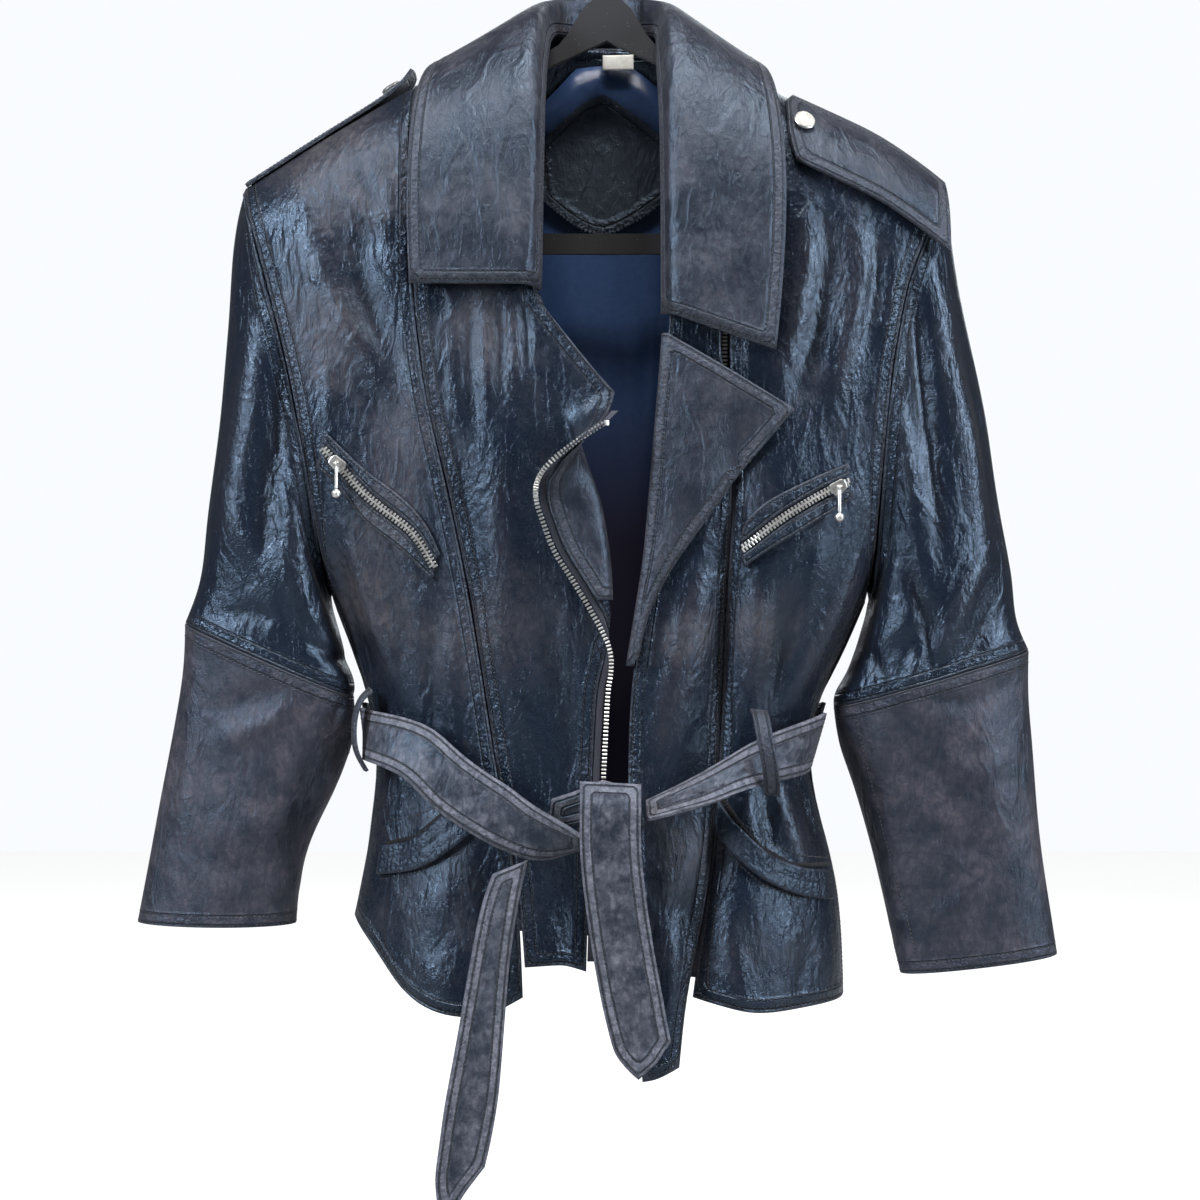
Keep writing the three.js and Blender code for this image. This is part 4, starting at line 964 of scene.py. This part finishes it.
SLEEVE_BACK_FOLDS = {
    "right": (
        (((-236, -240), (-240, -340), (-256, -440), (-268, -510)), 11, 3.4),
        (((-212, -280), (-222, -380), (-238, -480)), 9, -3.0),
        (((-196, -480), (-216, -520), (-246, -540)), 6, 2.6),
        (((-200, -510), (-226, -546), (-262, -556)), 5, -2.4),
        (((-276, -560), (-262, -590), (-224, -600)), 7, 2.2),
        (((-280, -600), (-262, -660), (-250, -710)), 10, -1.8),
        (((-236, -590), (-232, -640), (-240, -700)), 8, 1.8),
    ),
    "left": (
        (((218, -240), (226, -340), (242, -440), (256, -510)), 11, 3.4),
        (((196, -280), (206, -380), (222, -480)), 9, -3.0),
        (((186, -490), (206, -526), (236, -540)), 6, 2.6),
        (((188, -520), (214, -552), (250, -560)), 5, -2.4),
        (((264, -570), (246, -600), (208, -612)), 7, 2.2),
        (((274, -610), (254, -670), (244, -720)), 10, -1.8),
        (((226, -600), (220, -650), (230, -720)), 8, 1.8),
    ),
}
LINING_FOLDS = (
    (((-5, -108), (-7, -125), (-9, -140)), 3, -3.0),
    (((-30, -112), (-22, -126), (-10, -136)), 4, -1.8),
    (((24, -108), (26, -124), (34, -138)), 3.5, -2.4),
    (((30, -250), (34, -300), (30, -380)), 7, -2.6),
    (((12, -245), (16, -320), (10, -420)), 10, 1.8),
    (((-26, -250), (-22, -330), (-30, -430)), 9, -2.0),
    (((46, -250), (44, -330), (30, -430)), 6, 2.0),
    (((-50, -260), (-46, -340), (-40, -420)), 8, 2.0),
)
COLLAR_FOLDS = (
    (((-112, -150), (-90, -210), (-84, -270)), 14, 1.2),
    (((-70, -120), (-62, -180), (-60, -250)), 12, -1.0),
    (((60, -110), (66, -180), (70, -260)), 12, 1.2),
    (((92, -150), (96, -220), (96, -280)), 12, -1.0),
)
LAPEL_FOLDS = (
    (((40, -340), (60, -370), (84, -390)), 10, 1.2),
    (((34, -380), (50, -420), (52, -460)), 12, -1.4),
)
FRONT_SCUFFS = (
    (-169, -204, 45, 1.2),
    (-186, -311, 34, 1),
    (-139, -378, 34, 0.8),
    (-160, -492, 22, 1.3),
    (-85, -311, 30, 0.9),
    (-112, -519, 40, 0.7),
    (-126, -686, 46, 0.5),
    (62, -666, 24, 1.3),
    (100, -512, 16, 1.3),
    (55, -519, 18, 1.1),
    (122, -505, 20, 0.6),
    (149, -291, 30, 0.4),
    (129, -733, 40, 0.2),
    (-152, -438, 24, 1),
    (-72, -505, 30, 0.5),
)
print("creases of the back:", len(BACK_FOLDS))

# %% [markdown]
# ### The panels
#
# Each piece goes through the same four steps: smooth copy, creases, edge distance, leather. The
# table names the CAD node, its leather, the rule for which way is out, and its creases. Sleeves are
# tubes, so they have one set of creases before and one behind.


# %% Dress one piece
def dress(
    node, finish, outward, folds, back_folds=None, levels=2, waves=SLOW_WAVES, scuffs=FRONT_SCUFFS
):
    """Make the shown piece of cloth for one CAD node."""
    piece = smooth_copy(node, "cloth_" + node, levels)
    press_folds(piece, folds, outward, back_folds, waves)
    paint_edges(piece)
    paint_scuffs(piece, scuffs)
    piece.data.materials.append(finish)
    return piece


SHOWN = {}

# %% Fronts, back and what is sewn flat on them
for node, finish in (
    ("front_side_right", "panel"),
    ("front_centre_right", "panel"),
    ("front_side_left", "panel"),
    ("overlap_flap_left", "panel"),
    ("facing_right", "collar"),
    ("chest_welt_upper_right", "panel"),
    ("chest_welt_lower_right", "panel"),
    ("chest_welt_upper_left", "panel"),
    ("chest_welt_lower_left", "panel"),
    ("hip_welt_right", "welt"),
    ("hip_welt_left", "welt"),
):
    SHOWN[node] = dress(node, LEATHERS[finish], out_of_torso, FRONT_FOLDS)
SHOWN["back_panel"] = dress("back_panel", LEATHERS["panel"], out_of_torso, BACK_FOLDS)
print("dressed so far:", len(SHOWN))

# %% Sleeves
for side, table in (("right", SLEEVE_RIGHT_FOLDS), ("left", SLEEVE_LEFT_FOLDS)):
    for part, finish in (("upper", "sleeve"), ("lower", "cuff")):
        node = f"{part}_sleeve_{side}"
        behind = SLEEVE_BACK_FOLDS[side]
        SHOWN[node] = dress(node, LEATHERS[finish], ARM_OUT[side], table, behind, 3, scuffs=())
        print(node, "faces:", len(SHOWN[node].data.polygons))

# %% Collar, lapel, straps and belt
SHOWN["collar"] = dress("collar", LEATHERS["collar"], out_of_torso, COLLAR_FOLDS, scuffs=())
SHOWN["lapel_left"] = dress("lapel_left", LEATHERS["collar"], out_of_front, LAPEL_FOLDS, scuffs=())
LOOPS = ("belt_loop_right", "belt_loop_left", "belt_loop_back")
STRAPS = ("epaulette_right", "epaulette_left") + LOOPS
BELT = ("belt_right", "belt_left", "belt_back", "belt_knot", "belt_front_end", "belt_long_end")
for names, finish, waves in ((STRAPS, "collar", (30.0, 0.3)), (BELT, "belt", (24.0, 0.5))):
    for node in names:
        SHOWN[node] = dress(node, LEATHERS[finish], out_of_torso, (), waves=waves, scuffs=())
print("dressed so far:", len(SHOWN))

# %% Lining, tapes, label and tag
for node, finish, folds, levels, waves in (
    ("lining_back", SATIN, LINING_FOLDS, 2, (38.0, 1.4)),
    ("main_zip_tape_right", TAPE, FRONT_FOLDS, 2, SLOW_WAVES),
    ("main_zip_tape_left", TAPE, FRONT_FOLDS, 2, SLOW_WAVES),
    ("label_patch", PATCH, (), 3, (9.0, 0.35)),
    ("size_tag", TAG, (), 2, (12.0, 0.2)),
):
    SHOWN[node] = dress(node, finish, out_of_torso, folds, None, levels, waves, ())
print("dressed so far:", len(SHOWN))

# %% [markdown]
# ## Stitching
#
# Topstitching runs at a fixed distance from an edge, and every piece now knows how far each of its
# points is from its edge. So a row of stitches is a contour line of that number, found face by face
# and joined up. One stitch is modelled on its own, and copies of it are laid along each line into
# one mesh. Thousands of stitches stay light, because each has only twenty faces.

# %% Contour lines at one distance from the edge
FACING_OUT = 0.25


def read(piece, label):
    """A painted attribute's number at every point."""
    values = np.empty(len(piece.data.vertices), dtype=np.float32)
    piece.data.attributes[label].data.foreach_get("value", values)
    return values


def seam_lines(piece, distance, outward):
    """Lines on the outer face at one distance from the edge: each a list of (place, normal)."""
    edge, points = read(piece, "edge_mm"), points_of(piece)
    links, spots = {}, {}
    for face in piece.data.polygons:
        corners = list(face.vertices)
        gaps = [edge[i] - distance for i in corners]
        if min(gaps) >= 0 or max(gaps) <= 0:
            continue
        centre = points[corners].mean(axis=0)
        if float(np.dot(outward(centre[None])[0], np.array(face.normal))) < FACING_OUT:
            continue
        crossed = []
        ends = list(zip(corners, gaps))
        for (i, a), (j, b) in zip(ends, ends[1:] + ends[:1]):
            if a * b < 0:
                key = (min(i, j), max(i, j))
                spot = points[i] + (points[j] - points[i]) * a / (a - b)
                spots[key] = (spot, np.array(face.normal))
                crossed.append(key)
        if len(crossed) == 2:
            links.setdefault(crossed[0], []).append(crossed[1])
            links.setdefault(crossed[1], []).append(crossed[0])
    lines, used = [], set()
    for start in sorted(links, key=lambda key: (len(links[key]), key)):
        if start in used:
            continue
        line, here = [], start
        while here is not None:
            used.add(here)
            line.append(spots[here])
            here = next((key for key in links[here] if key not in used), None)
        if len(line) > 2:
            lines.append(line)
    return lines


def pace_out(line, step):
    """Places, directions and normals at an even step along one line."""
    places = np.array([spot[0] for spot in line])
    normals = np.array([spot[1] for spot in line])
    passed = np.concatenate([[0], np.cumsum(np.linalg.norm(np.diff(places, axis=0), axis=1))])
    marks = np.arange(step / 2, passed[-1], step)
    at = [np.interp(marks, passed, places[:, axis]) for axis in range(3)]
    ahead = [np.interp(marks + 0.6, passed, places[:, axis]) for axis in range(3)]
    behind = [np.interp(marks - 0.6, passed, places[:, axis]) for axis in range(3)]
    up = [np.interp(marks, passed, normals[:, axis]) for axis in range(3)]
    return np.array(at).T, unit(np.array(ahead).T - np.array(behind).T), unit(np.array(up).T)


# %% One part, many copies
def lay_copies(name, part, places, finish):
    """One mesh of copies of part, each turned so that its x runs along and its z stands up."""
    shape = np.array([vertex.co for vertex in part.data.vertices])
    faces = [list(face.vertices) for face in part.data.polygons]
    points, all_faces = [], []
    for at, along, up in places:
        side = np.cross(up, along)
        turn = np.array([along, side / max(np.linalg.norm(side), 1e-9), up])
        turn[2] = np.cross(turn[0], turn[1])
        base = len(points) * len(shape)
        points.append(shape @ turn + at * MM)
        all_faces += [[base + i for i in face] for face in faces]
    mesh = bpy.data.meshes.new(name)
    mesh.from_pydata(np.concatenate(points).tolist(), [], all_faces)
    mesh.update()
    piece = bpy.data.objects.new(name, mesh)
    bpy.context.scene.collection.objects.link(piece)
    mesh.materials.append(finish)
    pick(piece)
    bpy.ops.object.shade_smooth()
    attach(piece, BODY)
    return piece


# %% Small parts modelled on their own, to be copied
def box_part(size, turn=0.0, cut=0.0):
    """A box of one size in millimetres, turned about z, its edges cut back if cut is given."""
    deselect_all()
    bpy.ops.mesh.primitive_cube_add(size=1.0 * MM)
    part = bpy.context.active_object
    bpy.ops.object.mode_set(mode="EDIT")
    bpy.ops.transform.resize(value=size)
    if turn:
        bpy.ops.transform.rotate(value=turn, orient_axis="Z")
    if cut:
        bpy.ops.mesh.bevel(offset=cut * MM, segments=1, affect="EDGES")
    bpy.ops.object.mode_set(mode="OBJECT")
    return part


# %% One stitch
STITCH_STEP, STITCH_LONG, STITCH_THICK = 3.1, 2.5, 0.62
deselect_all()
bpy.ops.mesh.primitive_ico_sphere_add(subdivisions=1, radius=0.5 * MM)
stitch = bpy.context.active_object
bpy.ops.object.mode_set(mode="EDIT")
bpy.ops.transform.resize(value=(STITCH_LONG, STITCH_THICK, STITCH_THICK * 0.8))
bpy.ops.object.mode_set(mode="OBJECT")
print("stitch:", len(stitch.data.polygons), "faces")

# %% Which rows each piece has
def anywhere(p):
    """Every place."""
    return True


def by_armhole_or_hem(p):
    """Only where a panel meets a sleeve or ends at the hem."""
    return (abs(p[0]) > 160 and p[2] > -494) or p[2] < -690


def turned_edge(p):
    """Outside the line along which the lapel turns."""
    return p[0] > 24 + 0.13 * (p[2] + 430)


ROWS = (
    (("collar",), out_of_torso, (2.2, 8.2), anywhere),
    (("lapel_left",), out_of_front, (2.2, 8.2), turned_edge),
    (("facing_right",), out_of_torso, (2.2, 8.2), anywhere),
    (("front_centre_right",), out_of_torso, (2.0, 8.2), anywhere),
    (("front_side_right", "front_side_left"), out_of_torso, (2.0, 8.8), by_armhole_or_hem),
    (("overlap_flap_left",), out_of_torso, (2.6,), anywhere),
    (("back_panel",), out_of_torso, (2.0, 8.8), by_armhole_or_hem),
    (("epaulette_right", "epaulette_left"), out_of_torso, (2.2, 7.4), anywhere),
    (("belt_right", "belt_left", "belt_back"), out_of_torso, (2.4, 7.6), anywhere),
    (("belt_front_end", "belt_long_end"), out_of_front, (2.4, 7.6), anywhere),
    (LOOPS, out_of_torso, (1.8,), anywhere),
    (("chest_welt_upper_right", "chest_welt_lower_right"), out_of_torso, (1.6,), anywhere),
    (("chest_welt_upper_left", "chest_welt_lower_left"), out_of_torso, (1.6,), anywhere),
    (("lower_sleeve_right",), ARM_OUT["right"], (1.6, 8.2), anywhere),
    (("lower_sleeve_left",), ARM_OUT["left"], (1.6, 8.2), anywhere),
    (("label_patch",), out_of_front, (5.2,), anywhere),
)


# %% The label's pinked edge: small square plates stood on their corners along the outline
PINK_STEP = 3.0
point = box_part((2.3, 2.3, 1.5), turn=math.radians(45))
trim = []
for line in seam_lines(SHOWN["label_patch"], 0.5, out_of_front):
    trim += [(at - up * 0.7, along, up) for at, along, up in zip(*pace_out(line, PINK_STEP))]
pinking = lay_copies("label_pinking", point, trim, PATCH)
pinking.data.shade_flat()
bpy.data.objects.remove(point)
print("points round the label:", len(trim))

# %% Sew them
def sew(node, outward, distances, wanted):
    """Lay the rows of one piece where they are wanted; returns how many stitches that took."""
    places = []
    for distance in distances:
        for line in seam_lines(SHOWN[node], distance, outward):
            for at, along, up in zip(*pace_out(line, STITCH_STEP)):
                if wanted(at):
                    places.append((at + up * 0.05, along, up))
    if places:
        lay_copies("stitches_" + node, stitch, places, THREAD)
    return len(places)


stitch_count = sum(sew(node, *rest) for nodes, *rest in ROWS for node in nodes)

# %% Seams that cross a piece: the inner seam of each forearm, and the lines round the hip pockets
FRONT, BEHIND = -300.0, 300.0
INNER_RIGHT = ((-176, -566), (-184, -626), (-198, -690), (-206, -722))
INNER_LEFT = ((171, -574), (189, -646), (207, -712), (213, -736))
CROSSING = (
    ("lower_sleeve_right", INNER_RIGHT, FRONT),
    ("lower_sleeve_right", INNER_RIGHT, BEHIND),
    ("lower_sleeve_left", INNER_LEFT, FRONT),
    ("lower_sleeve_left", INNER_LEFT, BEHIND),
    ("front_side_right", ((-150, -643), (-128, -638), (-112, -630), (-98, -618)), FRONT),
    ("front_side_right", ((-156, -683), (-130, -677), (-108, -661), (-90, -646)), FRONT),
    ("front_side_left", ((72, -618), (88, -640), (106, -654), (128, -664), (153, -671)), FRONT),
    ("front_side_left", ((66, -640), (82, -664), (103, -682), (128, -693), (156, -698)), FRONT),
)


def trace(piece, route, from_y):
    """The route, given as (x, z), where it meets the piece as seen along y."""
    tree = BVHTree.FromObject(piece, bpy.context.evaluated_depsgraph_get())
    route = np.array(route, dtype=float)
    passed = np.concatenate([[0], np.cumsum(np.linalg.norm(np.diff(route, axis=0), axis=1))])
    line = []
    for mark in np.arange(0, passed[-1], 2.0):
        x, z = (np.interp(mark, passed, route[:, axis]) for axis in (0, 1))
        start = Vector((x, from_y, z)) * MM
        spot, normal, _, _ = tree.ray_cast(start, Vector((0, -math.copysign(1, from_y), 0)))
        if spot is not None:
            line.append((np.array(spot) / MM, np.array(normal)))
    return line


def along_route(node, route, from_y, step, lift):
    """Even places for copies along a route that is dropped on a piece."""
    line = trace(SHOWN[node], route, from_y)
    return [(at + up * lift, along, up) for at, along, up in zip(*pace_out(line, step))]


pick(stitch)
bpy.ops.object.mode_set(mode="EDIT")
bpy.ops.mesh.select_all(action="SELECT")
bpy.ops.transform.resize(value=(1.15, 1.9, 1.2))
bpy.ops.object.mode_set(mode="OBJECT")
crossing = [place for row in CROSSING for place in along_route(*row, STITCH_STEP, 0.1)]
lay_copies("stitches_crossing", stitch, crossing, THREAD)
stitch_count += len(crossing)

# %% Painted shade in the mouths of the hip pockets: near-black patches laid along each opening
MOUTHS = (
    ("front_side_right", ((-151, -659), (-130, -653), (-109, -635), (-95, -623)), FRONT),
    ("front_side_left", ((78, -626), (90, -644), (104, -659), (123, -671), (155, -675)), FRONT),
)
shade_patch = box_part((2.6, 3.4, 0.5))
mouth = [place for row in MOUTHS for place in along_route(*row, 2.2, 0.15)]
lay_copies("pocket_mouth_shade", shade_patch, mouth, POCKET_SHADE_PAINT)
bpy.data.objects.remove(shade_patch)
bpy.data.objects.remove(stitch)
print("stitches:", stitch_count)

# %% [markdown]
# ## Zips
#
# A metal zip is two woven tapes with teeth clamped to their edges. The slanted front zip hangs open,
# so each half shows a single row of teeth; the chest zips are closed and their two rows mesh. The
# CAD strips give the path. A line down the middle of each strip is found by stepping from one end
# to the other, ring by ring, and then teeth are set along it at an even pitch.

# %% The middle line of a strip
TOOTH_PITCH = 2.6
SUNK_BELOW, SUNK_ABOVE = -352.0, -712.0


def strip_rings(node, end, reach=7.5):
    """The rings of points across a strip, walked from the end nearest to a place."""
    work = bmesh.new()
    work.from_mesh(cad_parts[node].data)
    bmesh.ops.remove_doubles(work, verts=work.verts, dist=0.01 * MM)
    bmesh.ops.join_triangles(
        work,
        faces=work.faces,
        angle_face_threshold=math.radians(60),
        angle_shape_threshold=math.radians(75),
    )
    first = min(work.verts, key=lambda v: (v.co / MM - Vector(end)).length)
    ring = {v for v in work.verts if (v.co - first.co).length < reach * MM}
    seen, rings = set(ring), []
    while ring:
        rings.append(np.array([v.co / MM for v in ring]))
        ring = {e.other_vert(v) for v in ring for e in v.link_edges} - seen
        seen |= ring
    work.free()
    return rings


def middle_line(rings):
    """The centres of the rings in order, with the corners of their line cut smooth."""
    centres = np.array([ring.mean(axis=0) for ring in rings])
    for _ in range(3):
        quarter = centres[:-1] * 0.75 + centres[1:] * 0.25
        three = centres[:-1] * 0.25 + centres[1:] * 0.75
        inner = np.empty((2 * len(quarter), 3))
        inner[0::2], inner[1::2] = quarter, three
        centres = np.concatenate([centres[:1], inner, centres[-1:]])
    return centres


# %% One tooth
tooth = box_part((1.35, 3.4, 1.9), cut=0.3)
print("tooth:", len(tooth.data.polygons), "faces")


def set_teeth(node, name, end, sides, lift, sink=0.0):
    """Teeth along a strip, following its folds: sides lists each row's shift across the strip
    and along it, and sink is how much deeper they lie where leather covers the strip."""
    centres = middle_line(strip_rings(node, end))
    line = [(centre, np.array([0.0, -1.0, 0.0])) for centre in centres]
    places = []
    for across, shift in sides:
        for at, along, up in zip(*pace_out(line, TOOTH_PITCH)):
            side = unit(np.cross(up, along)[None])[0]
            deeper = sink if SUNK_ABOVE < at[2] < SUNK_BELOW else 0.0
            places.append((at + side * across + along * shift + up * (lift - deeper), along, up))
    spots = np.array([place[0] for place in places])
    out = out_of_torso(spots)
    spots += out * fold_heights(spots, out, FRONT_FOLDS)[:, None]
    places = [(spot, along, up) for spot, (_, along, up) in zip(spots, places)]
    teeth = lay_copies(name, tooth, places, NICKEL)
    teeth.data.shade_flat()
    return teeth


# %% Closed chest zips: a tape under two meshing rows
for side, end in (("right", (-192, -59, -388)), ("left", (163, -61, -411))):
    node = f"chest_zip_{side}"
    SHOWN[node] = dress(node, TAPE, out_of_torso, FRONT_FOLDS, scuffs=())
    rows = ((-1.1, 0.0), (1.1, TOOTH_PITCH / 2))
    chain = set_teeth(node, f"zip_chain_{side}", end, rows, 0.9)
    print(node, "teeth:", len(chain.data.polygons) // len(tooth.data.polygons))

# %% Open front zip: one row on each half
for side, end, lift, sink in (
    ("right", (9, -104, -366), 0.9, 0.0),
    ("left", (86, -50, -150), 0.0, 1.8),
):
    node = f"main_zip_teeth_{side}"
    row = set_teeth(node, f"front_zip_teeth_{side}", end, ((0.0, 0.0),), lift, sink)
    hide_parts(node)
    print(node, "teeth:", len(row.data.polygons) // len(tooth.data.polygons))
bpy.data.objects.remove(tooth)

# %% [markdown]
# ## Hard parts and the floor
#
# The hanger, its hook and the small metal parts keep their CAD shape and only get their finishes.
# The floor gets its pale paint.

# %% Hard parts that keep their CAD shape
SMALL_METAL = ("slider_right", "slider_left", "pull_right", "pull_left", "snap_right", "snap_left")
for names, finish in ((("hanger",), VELVET), (("hanger_hook",), CHROME), (SMALL_METAL, NICKEL)):
    for node in names:
        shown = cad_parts[node]
        shown.data.materials.clear()
        shown.data.materials.append(finish)

floor_paint, floor_tree, floor_shader = new_material("floor_paint", Roughness=0.9)
speckle = noise_node(floor_tree, place_mm(floor_tree), 2.0, scale=0.02)["Fac"]
pale = blend_colour(floor_tree, speckle, (0.30, 0.30, 0.30, 1), (0.34, 0.34, 0.34, 1))
floor_tree.links.new(pale, floor_shader.inputs["Base Color"])
seen = add_node(floor_tree, "ShaderNodeLightPath").outputs["Is Camera Ray"]
glow = add_node(floor_tree, "ShaderNodeMapRange", {"Value": seen, "To Min": 0.12, "To Max": 0.86})
floor_shader.inputs["Emission Color"].default_value = (1, 1, 1, 1)
floor_tree.links.new(glow.outputs["Result"], floor_shader.inputs["Emission Strength"])
floor.data.materials.append(floor_paint)
